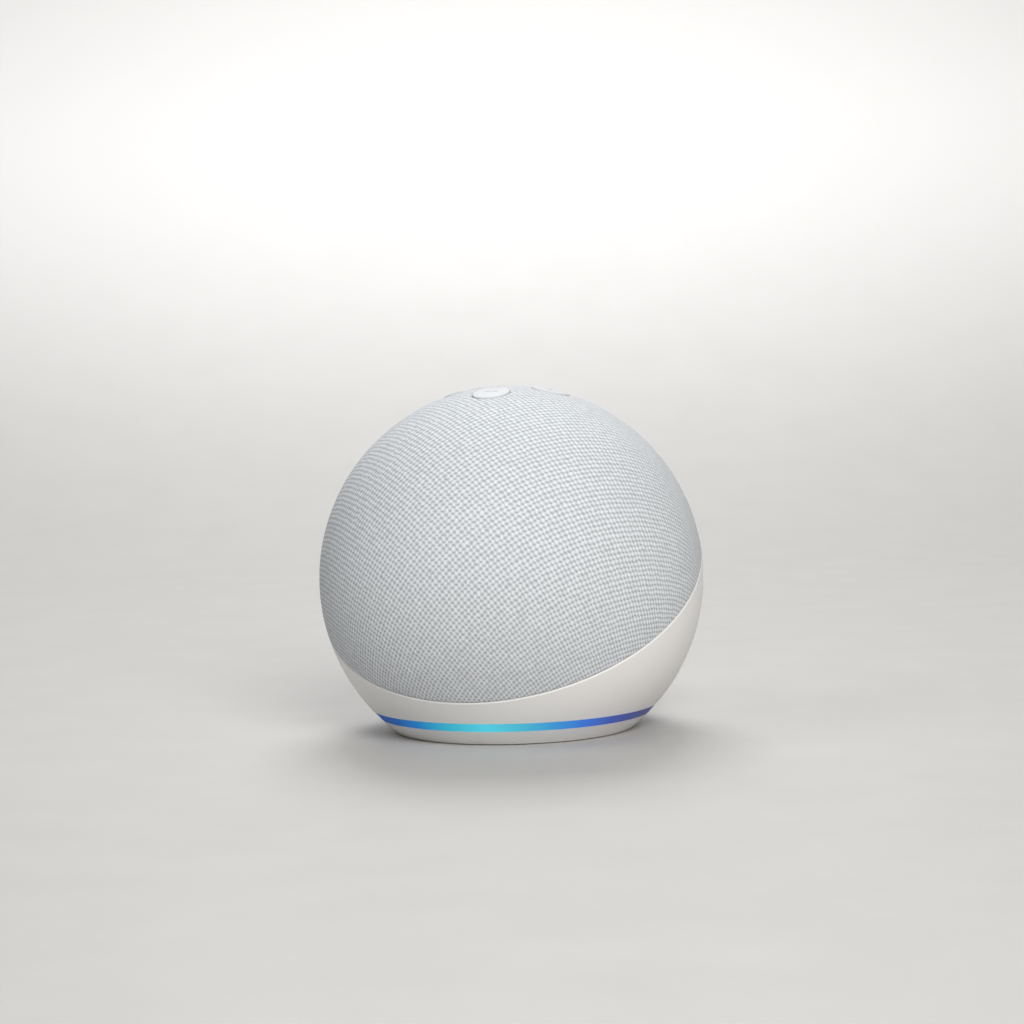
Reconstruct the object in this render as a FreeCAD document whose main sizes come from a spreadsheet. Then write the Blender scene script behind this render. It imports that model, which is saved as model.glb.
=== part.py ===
"""Ball-shaped smart speaker: shells, light ring, front loudspeaker, electronics and four buttons.

Row frame: +Z up, the front (loudspeaker side) faces -Y, the origin is the middle of the foot.
All lengths are millimetres, and the driving ones live in the document's "sizes" sheet.
"""

import FreeCAD, Part

import math
import os

import Sketcher
from FreeCAD import Placement, Rotation, Vector

SIZES = {
    # the ball, its cut-off foot and the slanting seam between fabric and plastic
    "ball_radius": 50.0,
    "centre_height": 39.4,
    "seam_tilt": 31.85,
    "seam_drop": 0.93,
    "seam_gap": 0.15,
    "rim_round": 0.5,
    "fabric_wall": 0.8,
    "grille_gap": 0.1,
    "grille_wall": 1.8,
    "housing_wall": 2.0,
    "lip_wall": 0.6,
    "lip_depth": 3.0,
    "sound_hole": 1.6,
    "hole_rings": 4,
    "hole_spread": 7.4,
    "drill_start": 44.0,
    "microphone_bore": 0.8,
    "microphone_bore_start": 76.0,
    "slot_half": 6.0,
    "slot_front": 24.5,
    "slot_back": 27.5,
    # levels of the base, counted up from the table
    "base_bottom": 0.15,
    "base_top": 3.96,
    "base_round": 0.9,
    "ring_bottom": 4.01,
    "ring_top": 6.22,
    "ring_inset": 0.1,
    "ring_inner": 33.6,
    "floor_bottom": 6.27,
    "floor_top": 8.27,
    "foot_radius": 27.0,
    "foot_height": 1.5,
    "foot_play": 0.3,
    "foot_edge": 0.4,
    "base_screw_circle": 17.0,
    "boss_radius": 3.0,
    "boss_cap": 0.4,
    "head_sink": 1.15,
    # light board
    "board_inner": 21.5,
    "board_outer": 31.0,
    "light_board_bottom": 5.1,
    "light_board_top": 6.1,
    "light_count": 12,
    "light_length": 2.0,
    "light_width": 1.2,
    "light_height": 0.7,
    "light_setback": 1.5,
    "ring_play": 0.1,
    "reflector_wall": 0.2,
    # sealed acoustic box
    "box_radius": 46.2,
    "box_wall": 1.8,
    "box_front": 33.5,
    "box_back": 22.0,
    "box_bottom": 10.0,
    "box_top": 74.0,
    "box_split": 5.0,
    "gasket_wall": 0.6,
    "column_circle": 36.3,
    "column_radius": 3.0,
    "column_front": 24.0,
    "front_pilot": 17.0,
    "column_tip": 12.0,
    "head_pocket": 1.6,
    "box_standoff": 5.0,
    "pilot_depth": 4.4,
    "board_post_radius": 2.0,
    "driver_boss": 2.3,
    "driver_boss_depth": 3.0,
    "lead_height": 22.4,
    "lead_radius": 0.6,
    "lead_offset": 1.1,
    "grommet_radius": 3.0,
    # loudspeaker, measured forward from the front face of the baffle
    "flange_radius": 25.0,
    "flange_back": 0.5,
    "flange_front": 1.7,
    "basket_radius": 20.0,
    "basket_inner": 18.8,
    "basket_neck": 13.4,
    "basket_waist": -6.5,
    "basket_shoulder": -7.0,
    "basket_seat": 10.0,
    "basket_floor": 1.0,
    "window_half": 5.0,
    "window_near": 8.0,
    "window_far": 24.0,
    "window_front": 2.2,
    "window_back": 8.4,
    "driver_head": 1.9,
    "driver_tip": 3.5,
    "driver_screw_circle": 22.9,
    "plate_front": -10.2,
    "plate_back": -12.7,
    "magnet_back": -18.7,
    "yoke_back": -21.2,
    "plate_radius": 14.0,
    "magnet_radius": 15.0,
    "magnet_hole": 8.6,
    "plate_hole": 7.1,
    "pole_radius": 5.5,
    "former_inner": 6.0,
    "former_outer": 6.2,
    "coil_outer": 6.7,
    "cone_radius": 15.4,
    "cone_front": 1.7,
    "cone_back": -4.6,
    "cone_wall": 0.5,
    "coil_reach": 1.2,
    "dome_overlap": 1.0,
    "dome_rise": 2.4,
    "dome_wall": 0.35,
    "surround_wall": 0.45,
    "spider_level": -7.6,
    "spider_wall": 0.4,
    "tag_half": 0.5,
    "tag_thin": 0.3,
    "tag_front": 9.0,
    "tag_back": 12.0,
    "tag_board_half": 3.5,
    "tag_board_front": 9.6,
    "tag_board_back": 11.4,
    "tag_board_gap": 0.4,
    # main circuit board behind the box
    "board_front": 24.0,
    "board_back": 25.2,
    "board_half": 24.0,
    "board_low": 11.0,
    "board_high": 60.0,
    "board_round": 34.0,
    "board_lift": 4.0,
    "can_depth": 1.8,
    "can_wall": 0.3,
    "processor_x": -3.0,
    "processor_z": 42.0,
    "sink_half_width": 12.0,
    "sink_half_height": 10.0,
    "sink_plate": 1.2,
    "gel_half_width": 9.0,
    "gel_half_height": 8.0,
    "gel_depth": 0.5,
    "fin_count": 7,
    "fin_pitch": 3.0,
    "fin_half": 0.4,
    "fin_height": 3.0,
    "capacitor_radius": 2.5,
    "capacitor_height": 6.0,
    "antenna_x": 16.2,
    "antenna_z": 48.0,
    "antenna_half": 0.2,
    "antenna_half_height": 5.0,
    "antenna_depth": 6.0,
    "antenna_foot_x": 17.8,
    "antenna_foot_z": 49.0,
    "antenna_foot_half_width": 1.8,
    "antenna_foot_half_height": 3.0,
    "antenna_foot_depth": 0.4,
    # flat cables and their sockets
    "ribbon_half": 4.0,
    "ribbon_wall": 0.3,
    "ribbon_bend": 2.5,
    "ribbon_level": 77.85,
    "ribbon_start": 21.2,
    "ribbon_turn": 23.4,
    "ribbon_end": 57.6,
    "light_ribbon_face": 25.85,
    "light_ribbon_end": 12.0,
    "socket_half": 5.2,
    "socket_depth": 1.6,
    "socket_length": 2.6,
    "low_socket": 11.2,
    "high_socket": 56.4,
    "top_socket": 18.8,
    "top_socket_height": 1.2,
    "slot_play": 0.1,
    "jack_height": 19.4,
    "jack_radius": 4.4,
    "jack_end": 37.2,
    "jack_bore": 2.1,
    "jack_bore_start": 28.2,
    "pin_radius": 0.825,
    "pin_root": 0.6,
    "pin_end": 36.4,
    "recess_radius": 4.75,
    "recess_wall": 1.85,
    "recess_start": 37.3,
    "recess_floor": 38.1,
    "plug_hole": 2.6,
    # buttons on top
    "button_circle": 12.0,
    "cap_radius": 4.9,
    "cap_proud": 0.3,
    "cap_round": 0.45,
    "fabric_hole": 5.2,
    "guide_hole": 5.25,
    "guide_wall": 1.1,
    "guide_bottom": 82.0,
    "flange_low": 80.9,
    "flange_high": 81.9,
    "cap_flange": 6.2,
    "stem_radius": 1.5,
    "stem_bottom": 79.35,
    "mark_depth": 0.25,
    "mark_length": 3.4,
    "mark_width": 0.55,
    "carrier_low": 79.5,
    "carrier_high": 80.3,
    "carrier_radius": 18.5,
    "top_board_low": 76.0,
    "top_board_high": 77.2,
    "top_board_radius": 22.5,
    "post_offset": 9.5,
    "post_radius": 2.2,
    "microphone_offset": 13.5,
    "microphone_half_width": 1.5,
    "microphone_half_depth": 1.1,
    "microphone_height": 1.0,
    "microphone_port": 0.4,
    "microphone_skin": 0.6,
    "microphone_pass": 2.4,
    "seal_radius": 2.0,
    "seal_height": 3.2,
    "switch_half": 2.2,
    "switch_height": 1.6,
    "switch_bore": 1.0,
    "switch_floor": 0.25,
    "plunger_radius": 0.9,
    "plunger_seat": 0.8,
    "stem_play": 0.3,
    "dot_radius": 0.9,
    "mute_x": -18.0,
    "mute_y": -4.6,
    "mute_length": 1.6,
    "mute_width": 0.8,
    "mute_height": 0.6,
    # screws
    "screw_shank": 1.1,
    "screw_head": 2.1,
    "screw_play": 0.1,
    "shank_play": 0.2,
    "head_play": 0.3,
    "head_height": 1.05,
    "small_head": 1.7,
    "screw_reach": 4.0,
    # clearances between touching parts, and cutting tools that reach past every part
    "hair_gap": 0.02,
    "play": 0.05,
    "overrun": 1.0,
    "beyond": 60.0,
}

# places (x, y) of the screws under the acoustic box, and (x, z) of those through the main board
FRAME_SCREWS = ((0, -14), (-14.5, 3), (14.5, 3))
BOARD_SCREWS = ((-20, 24), (20, 24), (-20, 56), (20, 56))

# each button's name and the side of the top that it stands on
BUTTONS = (
    ("volume_down", 0, -1),
    ("action", 1, 0),
    ("volume_up", 0, 1),
    ("microphone", -1, 0),
)

# pieces on the main board: middle x, middle z, half width, half height, and for chips the depth
SHIELDS = (
    ("processor_shield", SIZES["processor_x"], SIZES["processor_z"], 12.0, 10.0),
    ("radio_shield", -13.0, 28.4, 4.0, 3.0),
)
CHIPS = (
    (14.0, 30.0, 3.0, 3.0, 1.0),
    (12.8, 39.0, 2.5, 3.5, 1.2),
    (-12.0, 19.0, 3.0, 3.0, 3.0),
    (3.0, 28.4, 2.0, 1.5, 0.9),
    (-6.0, 28.4, 1.5, 1.5, 0.9),
)
CAPACITORS = ((10.0, 17.5), (16.0, 18.5))


class Size:
    """A length that knows both its number and the sheet formula that gives it."""

    def __init__(self, value, formula=None):
        self.value = float(value)
        self.formula = formula or ("(%r)" % float(value))

    @staticmethod
    def of(other):
        return other if isinstance(other, Size) else Size(other)

    def combine(self, other, sign, value):
        return Size(value, "(%s %s %s)" % (self.formula, sign, Size.of(other).formula))

    def __add__(self, other):
        return self.combine(other, "+", self.value + Size.of(other).value)

    def __sub__(self, other):
        return self.combine(other, "-", self.value - Size.of(other).value)

    def __mul__(self, other):
        return self.combine(other, "*", self.value * Size.of(other).value)

    def __truediv__(self, other):
        return self.combine(other, "/", self.value / Size.of(other).value)

    def __neg__(self):
        return self * -1.0

    def __radd__(self, other):
        return Size.of(other) + self

    def __rsub__(self, other):
        return Size.of(other) - self

    def __rmul__(self, other):
        return Size.of(other) * self

    def root(self):
        return Size(math.sqrt(self.value), "sqrt(%s)" % self.formula)


class Sheet:
    """The spreadsheet of driving dimensions; each alias reads back as a Size."""

    def __init__(self, document, sizes):
        self.page = document.addObject("Spreadsheet::Sheet", "sizes")
        for row, (alias, value) in enumerate(sizes.items(), start=1):
            self.page.set("A%d" % row, alias.replace("_", " "))
            self.page.set("B%d" % row, repr(value))
            self.page.setAlias("B%d" % row, alias)
        document.recompute()

    def __getattr__(self, alias):
        return Size(self.page.get(alias), "sizes." + alias)


doc = FreeCAD.newDocument("smart_speaker")
s = Sheet(doc, SIZES)
nodes = []
CENTRE = (0.0, s.centre_height)
UPRIGHT = Placement()


def chord(radius, height):
    """Distance from the axis of a point on a ball, from its height above the ball's centre."""
    return (radius * radius - height * height).root()


def node(label, feature):
    """Name a finished sub-part; the label is also its file's name."""
    feature.Label = label
    nodes.append(feature)
    return feature


def spot(feature, x, y, z):
    """Place a feature at a point tied to the sheet."""
    for axis, place in zip("xyz", (x, y, z)):
        feature.setExpression("Placement.Base." + axis, Size.of(place).formula)


def block(name, low, high):
    """Box between two corners."""
    box = doc.addObject("Part::Box", name)
    for side, start, end in zip(("Length", "Width", "Height"), low, high):
        box.setExpression(side, (Size.of(end) - start).formula)
    spot(box, *low)
    return box


TURNS = {"z": Rotation(), "y": Rotation(Vector(1, 0, 0), -90)}


def rod(name, radius, start, length, axis="z"):
    """Round bar from a start point along +Y or +Z."""
    bar = doc.addObject("Part::Cylinder", name)
    bar.Placement = Placement(Vector(), TURNS[axis])
    bar.setExpression("Radius", Size.of(radius).formula)
    bar.setExpression("Height", Size.of(length).formula)
    spot(bar, *start)
    return bar


def ball(name, radius):
    """Ball about the speaker's centre."""
    globe = doc.addObject("Part::Sphere", name)
    globe.setExpression("Radius", Size.of(radius).formula)
    spot(globe, 0, 0, s.centre_height)
    return globe


def cut(name, base, *tools):
    """Base without the tools."""
    whole = doc.addObject("Part::Cut", name)
    whole.Base = base
    whole.Tool = tools[0] if len(tools) == 1 else gather(name + "_tools", *tools)
    return whole


def fuse(name, *parts):
    """All parts as one solid."""
    whole = doc.addObject("Part::MultiFuse", name)
    whole.Shapes = list(parts)
    whole.Refine = True
    return whole


def common(name, *parts):
    """What all parts share."""
    whole = doc.addObject("Part::MultiCommon", name)
    whole.Shapes = list(parts)
    return whole


def gather(name, *parts):
    """Separate solids kept side by side."""
    group = doc.addObject("Part::Compound", name)
    group.Links = list(parts)
    return group


def new_body(name, place=UPRIGHT):
    """Empty PartDesign body at a placement."""
    body = doc.addObject("PartDesign::Body", name)
    body.Placement = place
    return body


def sketch_on(body, role, level=0.0):
    """Sketch on one of the body's own origin planes, raised by a level along its normal."""
    sketch = body.newObject("Sketcher::SketchObject", body.Name + "_sketch")
    plane = next(f for f in body.Origin.OriginFeatures if f.Role == role)
    sketch.AttachmentSupport = (plane, [""])
    sketch.MapMode = "FlatFace"
    sketch.setExpression("AttachmentOffset.Base.z", Size.of(level).formula)
    return sketch


def fix(sketch, kind, geometry, end, place):
    """Hold one coordinate of a sketch point; zero means on the sketch's own axis."""
    place = Size.of(place)
    if place.value == 0.0:
        axis = -2 if kind == "DistanceX" else -1
        sketch.addConstraint(Sketcher.Constraint("PointOnObject", geometry, end, axis))
        return
    index = sketch.addConstraint(Sketcher.Constraint(kind, -1, 1, geometry, end, place.value))
    sketch.setExpression("Constraints[%d]" % index, place.formula)


def flat(point):
    """The present place of a point given by two sizes."""
    return Vector(Size.of(point[0]).value, Size.of(point[1]).value, 0)


def arc_between(start, end, centre, forward):
    """Arc about a centre; a forward one runs counter-clockwise from start to end."""
    first, last = (start, end) if forward else (end, start)
    angles = [math.atan2(p.y - centre.y, p.x - centre.x) for p in (first, last)]
    circle = Part.Circle(centre, Vector(0, 0, 1), (start - centre).Length)
    return Part.ArcOfCircle(circle, angles[0], angles[1])


def outline(sketch, *points):
    """Closed outline. A point is (x, y), or (x, y, centre, forward) when an arc leads to it."""
    edges = []
    for before, point in zip((points[-1],) + points[:-1], points):
        start, end = flat(before), flat(point)
        if len(point) == 2:
            edges.append((sketch.addGeometry(Part.LineSegment(start, end)), 1, 2))
            continue
        bend = arc_between(start, end, flat(point[2]), point[3])
        ends = (1, 2) if point[3] else (2, 1)
        edges.append((sketch.addGeometry(bend),) + ends)
    for (edge, _, tail), (following, head, _) in zip(edges, edges[1:] + edges[:1]):
        sketch.addConstraint(Sketcher.Constraint("Coincident", edge, tail, following, head))
    for before, point, (edge, _, tail) in zip((points[-1],) + points[:-1], points, edges):
        fix(sketch, "DistanceX", edge, tail, point[0])
        fix(sketch, "DistanceY", edge, tail, point[1])
        if len(point) == 4:
            run = flat(point) - flat(before)
            across = abs(run.x) >= abs(run.y)
            kind, place = ("DistanceY", point[2][1]) if across else ("DistanceX", point[2][0])
            fix(sketch, kind, edge, 3, place)


def turned(name, *outlines, place=UPRIGHT):
    """Body of revolution about its own Z axis, from outlines in (radius, height)."""
    body = new_body(name, place)
    sketch = sketch_on(body, "XZ_Plane")
    for points in outlines:
        outline(sketch, *points)
    turn = body.newObject("PartDesign::Revolution", name + "_turn")
    turn.Profile = sketch
    turn.ReferenceAxis = (sketch, ["V_Axis"])
    turn.Angle = 360.0
    return body


def hoop(inner, outer, low, high):
    """Outline of a ring with a rectangular section."""
    return [(inner, low), (outer, low), (outer, high), (inner, high)]


def strip(name, half_width, *points):
    """Outline in (y, z) drawn out along X, evenly to both sides."""
    body = new_body(name)
    sketch = sketch_on(body, "YZ_Plane")
    outline(sketch, *points)
    pad = body.newObject("PartDesign::Pad", name + "_pad")
    pad.Profile = sketch
    pad.SideType = "Symmetric"
    pad.setExpression("Length", (Size.of(half_width) * 2).formula)
    return body


def around(circle, count, first=45.0):
    """Evenly spaced (x, y) places on a circle."""
    for step in range(count):
        angle = math.radians(first + 360.0 * step / count)
        yield circle * math.cos(angle), circle * math.sin(angle)


def corners(offset):
    """The four (x, y) corners of a square."""
    return [(offset * a, offset * b) for a in (1, -1) for b in (1, -1)]


def pilot():
    """Radius of a hole that a screw cuts its thread in."""
    return s.screw_shank + s.screw_play


def clearance():
    """Radius of a hole that a screw passes through freely."""
    return s.screw_shank + s.shank_play


def screw(name, place, seat, tip, head=None, axis="z"):
    """Round-headed screw; its head rests at the seat, and the tip may lie either way along its axis."""
    forward = tip.value > seat.value
    low, high = (seat, tip) if forward else (tip, seat)
    head_low = seat - s.head_height if forward else seat
    head_rod = rod(name + "_head", head or s.screw_head, place(head_low), s.head_height, axis)
    shank = rod(name + "_shank", s.screw_shank, place(low), high - low, axis)
    return fuse(name, head_rod, shank)


TILTED = Placement(Vector(0, 0, s.centre_height.value), Rotation(Vector(1, 0, 0), s.seam_tilt.value))


def tilted(body):
    """Lean a body about the ball's centre, so that its Z axis is square to the seam."""
    body.setExpression("Placement.Base.z", s.centre_height.formula)
    body.setExpression("Placement.Rotation.Angle", s.seam_tilt.formula + " * 1 deg")
    return body


# ---------------------------------------------------------------- shells


def fabric_cover():
    """Knitted sleeve glued over the grille, with four button openings."""
    edge = -s.seam_drop
    outer, inner = s.ball_radius, s.ball_radius - s.fabric_wall
    skin = tilted(turned("fabric_skin", [
        (chord(outer, edge), edge),
        (0.0, outer, (0.0, 0.0), True),
        (0.0, inner),
        (chord(inner, edge), edge, (0.0, 0.0), False),
    ], place=TILTED))
    holes = [
        rod("fabric_hole_" + name, s.fabric_hole,
            (s.button_circle * x, s.button_circle * y, s.carrier_high), s.ball_radius)
        for name, x, y in BUTTONS
    ]
    return node("fabric_cover", cut("fabric_cut", skin, *holes))


def grille_holes():
    """Sound holes in rings about the loudspeaker's axis, each bored towards the ball's centre."""
    drills = []
    start = s.drill_start
    for ring in range(SIZES["hole_rings"] + 1):
        for step in range(max(1, 6 * ring)):
            turn = Rotation(Vector(0, 1, 0), 60.0 * step / max(1, ring))
            lean = Rotation(Vector(1, 0, 0), 90 + SIZES["hole_spread"] * ring)
            aim = turn.multiply(lean)
            way = aim.multVec(Vector(0, 0, 1))
            drill = doc.addObject("Part::Cylinder", "sound_hole")
            drill.Placement = Placement(Vector(), aim)
            drill.setExpression("Radius", s.sound_hole.formula)
            drill.setExpression("Height", (s.ball_radius - start + s.overrun).formula)
            spot(drill, start * way.x, start * way.y, s.centre_height + start * way.z)
            drills.append(drill)
    return gather("sound_holes", *drills)


def grille_shell():
    """Rigid upper shell under the fabric, with a lip inside the housing and button guides."""
    outer = s.ball_radius - s.fabric_wall - s.grille_gap
    inner = outer - s.grille_wall
    lip = inner + s.lip_wall
    shoulder = -s.seam_drop - s.seam_gap
    low = shoulder - s.lip_depth
    shell = tilted(turned("grille_dome", [
        (chord(lip, low), low),
        (chord(lip, shoulder), shoulder, (0.0, 0.0), True),
        (chord(outer, shoulder), shoulder),
        (0.0, outer, (0.0, 0.0), True),
        (0.0, inner),
        (chord(inner, low), low, (0.0, 0.0), False),
    ], place=TILTED))
    tube_radius = s.guide_hole + s.guide_wall
    tubes, bores = [], []
    for name, x, y in BUTTONS:
        place = (s.button_circle * x, s.button_circle * y, s.guide_bottom)
        tubes.append(rod("guide_" + name, tube_radius, place, s.ball_radius / 2))
        bores.append(rod("guide_bore_" + name, s.guide_hole, place, s.ball_radius / 2))
    guides = common("guides", gather("guide_tubes", *tubes), ball("guide_limit", outer - s.grille_wall / 2))
    for x, y in corners(s.microphone_offset):
        start = (x, y, s.microphone_bore_start)
        bores.append(rod("microphone_bore", s.microphone_bore, start, s.ball_radius / 2))
    whole = fuse("grille_whole", shell, guides)
    return node("grille_shell", cut("grille_cut", whole, grille_holes(), *bores))


def lower_housing():
    """Plastic bowl under the seam, with a floor, screw bosses and the power recess."""
    outer, inner = s.ball_radius, s.ball_radius - s.housing_wall
    rim = -s.seam_drop - s.seam_gap
    middle = rim - s.rim_round
    reach = chord(outer - s.rim_round, middle)
    swell = outer / (outer - s.rim_round)
    bowl = tilted(turned("housing_bowl", [
        (chord(inner, rim), rim),
        (0.0, -inner, (0.0, 0.0), False),
        (0.0, -outer),
        (reach * swell, middle * swell, (0.0, 0.0), True),
        (reach, rim, (reach, middle), True),
    ], place=TILTED))
    below = block("below_floor", (-s.beyond, -s.beyond, -s.beyond), (s.beyond, s.beyond, s.floor_bottom))
    wall_middle = s.ball_radius - s.housing_wall / 2
    plate = rod("floor_plate", s.ball_radius, (0, 0, s.floor_bottom), s.floor_top - s.floor_bottom)
    floor = common("housing_floor", plate, ball("floor_limit", wall_middle))
    recess_place = (0, s.recess_start, s.jack_height)
    sleeve = rod("recess_sleeve", s.recess_radius + s.recess_wall, recess_place, s.beyond, "y")
    collar = common("recess_collar", sleeve, ball("recess_limit", wall_middle))
    bosses, holes = [], []
    for x, y in around(s.base_screw_circle, 4):
        boss = (x, y, s.base_top)
        bosses.append(rod("boss", s.boss_radius, boss, s.floor_top - s.base_top))
        holes.append(rod("boss_hole", pilot(), boss, s.floor_top - s.base_top - s.boss_cap))
    holes.append(rod("recess_bore", s.recess_radius, (0, s.recess_floor, s.jack_height), s.beyond, "y"))
    holes.append(rod("plug_hole", s.plug_hole, recess_place, s.beyond, "y"))
    slot = block("ribbon_slot", (-s.slot_half, s.slot_front, s.base_top),
                 (s.slot_half, s.slot_back, s.floor_top + s.overrun))
    frame_holes = [
        rod("frame_hole", pilot(), (x, y, s.base_top), s.floor_top - s.base_top + s.overrun)
        for x, y in FRAME_SCREWS
    ]
    shell = cut("housing_shell", bowl, below)
    whole = fuse("housing_whole", shell, floor, collar, *bosses)
    return node("lower_housing", cut("housing_cut", whole, slot, *holes, *frame_holes))


def light_ring():
    """Translucent ring that carries the light round the foot."""
    outer = s.ball_radius - s.ring_inset
    low, high = s.ring_bottom, s.ring_top
    return node("light_ring", turned("ring", [
        (s.ring_inner, low),
        (chord(outer, s.centre_height - low), low),
        (chord(outer, s.centre_height - high), high, CENTRE, True),
        (s.ring_inner, high),
    ]))


def base_cover():
    """Bottom plate, rounded at its foot, with a recess for the pad and countersunk screw holes."""
    lift = s.centre_height - s.base_bottom - s.base_round
    near = s.ball_radius - s.base_round
    reach = chord(near, lift)
    swell = s.ball_radius / near
    recess = s.foot_radius + s.foot_play
    plate = turned("base_plate", [
        (0.0, s.foot_height),
        (recess, s.foot_height),
        (recess, s.base_bottom),
        (reach, s.base_bottom),
        (reach * swell, s.centre_height - lift * swell, (reach, s.base_bottom + s.base_round), True),
        (chord(s.ball_radius, s.centre_height - s.base_top), s.base_top, CENTRE, True),
        (0.0, s.base_top),
    ])
    holes, depth = [], s.foot_height + s.head_sink + s.play
    for x, y in around(s.base_screw_circle, 4):
        holes.append(rod("head_hole", s.screw_head + s.head_play, (x, y, 0), depth))
        holes.append(rod("shank_hole", clearance(), (x, y, 0), s.base_top + s.overrun))
    return node("base_cover", cut("base_cut", plate, *holes))


def foot_pad():
    """Silicone disc that the speaker stands on."""
    top = s.foot_height - s.hair_gap
    return node("foot_pad", turned("foot", [
        (0.0, 0.0),
        (s.foot_radius - s.foot_edge, 0.0),
        (s.foot_radius, s.foot_edge),
        (s.foot_radius, top),
        (0.0, top),
    ]))


def base_screws():
    """Four screws from the base cover into the housing's bosses."""
    parts = [
        screw("base_screw", lambda z, x=x, y=y: (x, y, z), s.foot_height + s.head_sink,
              s.floor_top - s.overrun)
        for x, y in around(s.base_screw_circle, 4)
    ]
    return node("base_screws", gather("base_screw_set", *parts))


def frame_screws():
    """Three screws that hold the acoustic box down on the housing's floor."""
    parts = [
        screw("frame_screw", lambda z, x=x, y=y: (x, y, z), s.floor_bottom - s.play,
              s.box_bottom + s.screw_reach)
        for x, y in FRAME_SCREWS
    ]
    return node("frame_screws", gather("frame_screw_set", *parts))


# ---------------------------------------------------------------- lights


def led_board():
    """Ring-shaped circuit board above the light ring."""
    return node("led_board", turned(
        "light_board", hoop(s.board_inner, s.board_outer, s.light_board_bottom, s.light_board_top)))


def light_leds():
    """Small lamps on the board's underside, evenly spaced."""
    edge = (s.board_outer - s.light_setback).value
    lamps = []
    for step in range(SIZES["light_count"]):
        lamp = doc.addObject("Part::Box", "lamp")
        for side, size in zip(("Length", "Width", "Height"), (s.light_width, s.light_length, s.light_height)):
            lamp.setExpression(side, size.formula)
        angle = 360.0 * (step + 0.5) / SIZES["light_count"]
        turn = Rotation(Vector(0, 0, 1), angle)
        corner = turn.multVec(Vector(edge, -s.light_length.value / 2, 0))
        lamp.Placement = Placement(corner, turn)
        lamp.setExpression("Placement.Base.z", (s.light_board_bottom - s.light_height).formula)
        lamps.append(lamp)
    return node("light_leds", gather("lamps", *lamps))


def light_reflector():
    """White film under the lamps that throws their light into the ring."""
    low = s.ring_bottom
    return node("light_reflector", turned(
        "reflector", hoop(s.board_inner, s.ring_inner - s.ring_play, low, low + s.reflector_wall)))


# ---------------------------------------------------------------- acoustic box


def box_form(name, shrink, front_trim=0.0):
    """Ball with flat front, back, top and bottom, drawn in by one distance all round."""
    low = (-s.beyond, -s.box_front + shrink, s.box_bottom + shrink)
    high = (s.beyond, s.box_back - shrink, s.box_top - shrink)
    return common(name, ball(name + "_ball", s.box_radius - shrink), block(name + "_block", low, high))


def columns(name, radius, start, length):
    """Four round columns along Y, in the box's corners."""
    return [
        rod(name, radius, (x, start, z + s.centre_height), length, "y")
        for x, z in around(s.column_circle, 4)
    ]


def top_posts(name, radius, low, high):
    """Four upright posts under the button board."""
    return [rod(name, radius, (x, y, low), high - low) for x, y in corners(s.post_offset)]


def box_whole():
    """Closed shell of the acoustic box with its standoffs, before it is split in two."""
    wall = cut("box_wall_shell", box_form("box_outside", 0.0), box_form("box_inside", s.box_wall))
    standoffs = top_posts("top_standoff", s.post_radius, s.box_top - s.box_standoff, s.top_board_low)
    feet = [
        rod("box_foot", s.boss_radius, (x, y, s.floor_top), s.box_bottom + s.box_standoff - s.floor_top)
        for x, y in FRAME_SCREWS
    ]
    inside = s.box_back - s.box_wall
    board_posts = [
        rod("board_post", s.board_post_radius, (x, inside, z), s.board_front - inside, "y")
        for x, z in BOARD_SCREWS
    ]
    return fuse("box_whole", wall, *standoffs, *feet, *board_posts)


def box_pilots(half):
    """Thread holes in the box's upper standoffs and lower feet."""
    low = s.floor_top - s.overrun
    holes = top_posts("top_pilot_" + half, pilot(), s.box_top - s.pilot_depth, s.top_board_low + s.overrun)
    holes += [
        rod("foot_pilot_" + half, pilot(), (x, y, low), s.box_bottom + s.box_standoff + s.shank_play - low)
        for x, y in FRAME_SCREWS
    ]
    return holes


def acoustic_box_front(whole):
    """Front half with the baffle, the driver's opening and the screw bosses."""
    face = -s.box_front - s.overrun
    inner_columns = columns("front_column", s.column_radius, -s.column_front, s.column_front - s.box_split)
    bosses = common("front_bosses", box_form("boss_limit", s.box_wall / 2),
                    gather("front_columns", *inner_columns))
    driver_bosses = [
        rod("driver_boss", s.driver_boss, (x, -s.box_front + s.play, z + s.centre_height),
            s.box_wall + s.driver_boss_depth, "y")
        for x, z in around(s.driver_screw_circle, 4)
    ]
    front = block("front_side", (-s.beyond, -s.beyond, 0), (s.beyond, -s.box_split, s.beyond * 2))
    half = common("front_half", whole, front)
    solid = fuse("front_solid", half, bosses, *driver_bosses)
    middle = (0, face, s.centre_height)
    tools = [rod("driver_opening", s.basket_radius + s.shank_play, middle, s.box_standoff, "y")]
    tools += columns("front_pilot", pilot(), -s.front_pilot, s.front_pilot - s.box_split + s.overrun)
    tools += [
        rod("driver_pilot", pilot(), (x, face, z + s.centre_height), s.box_standoff, "y")
        for x, z in around(s.driver_screw_circle, 4)
    ]
    return node("acoustic_box_front", cut("front_cut", solid, *tools, *box_pilots("front")))


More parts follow.
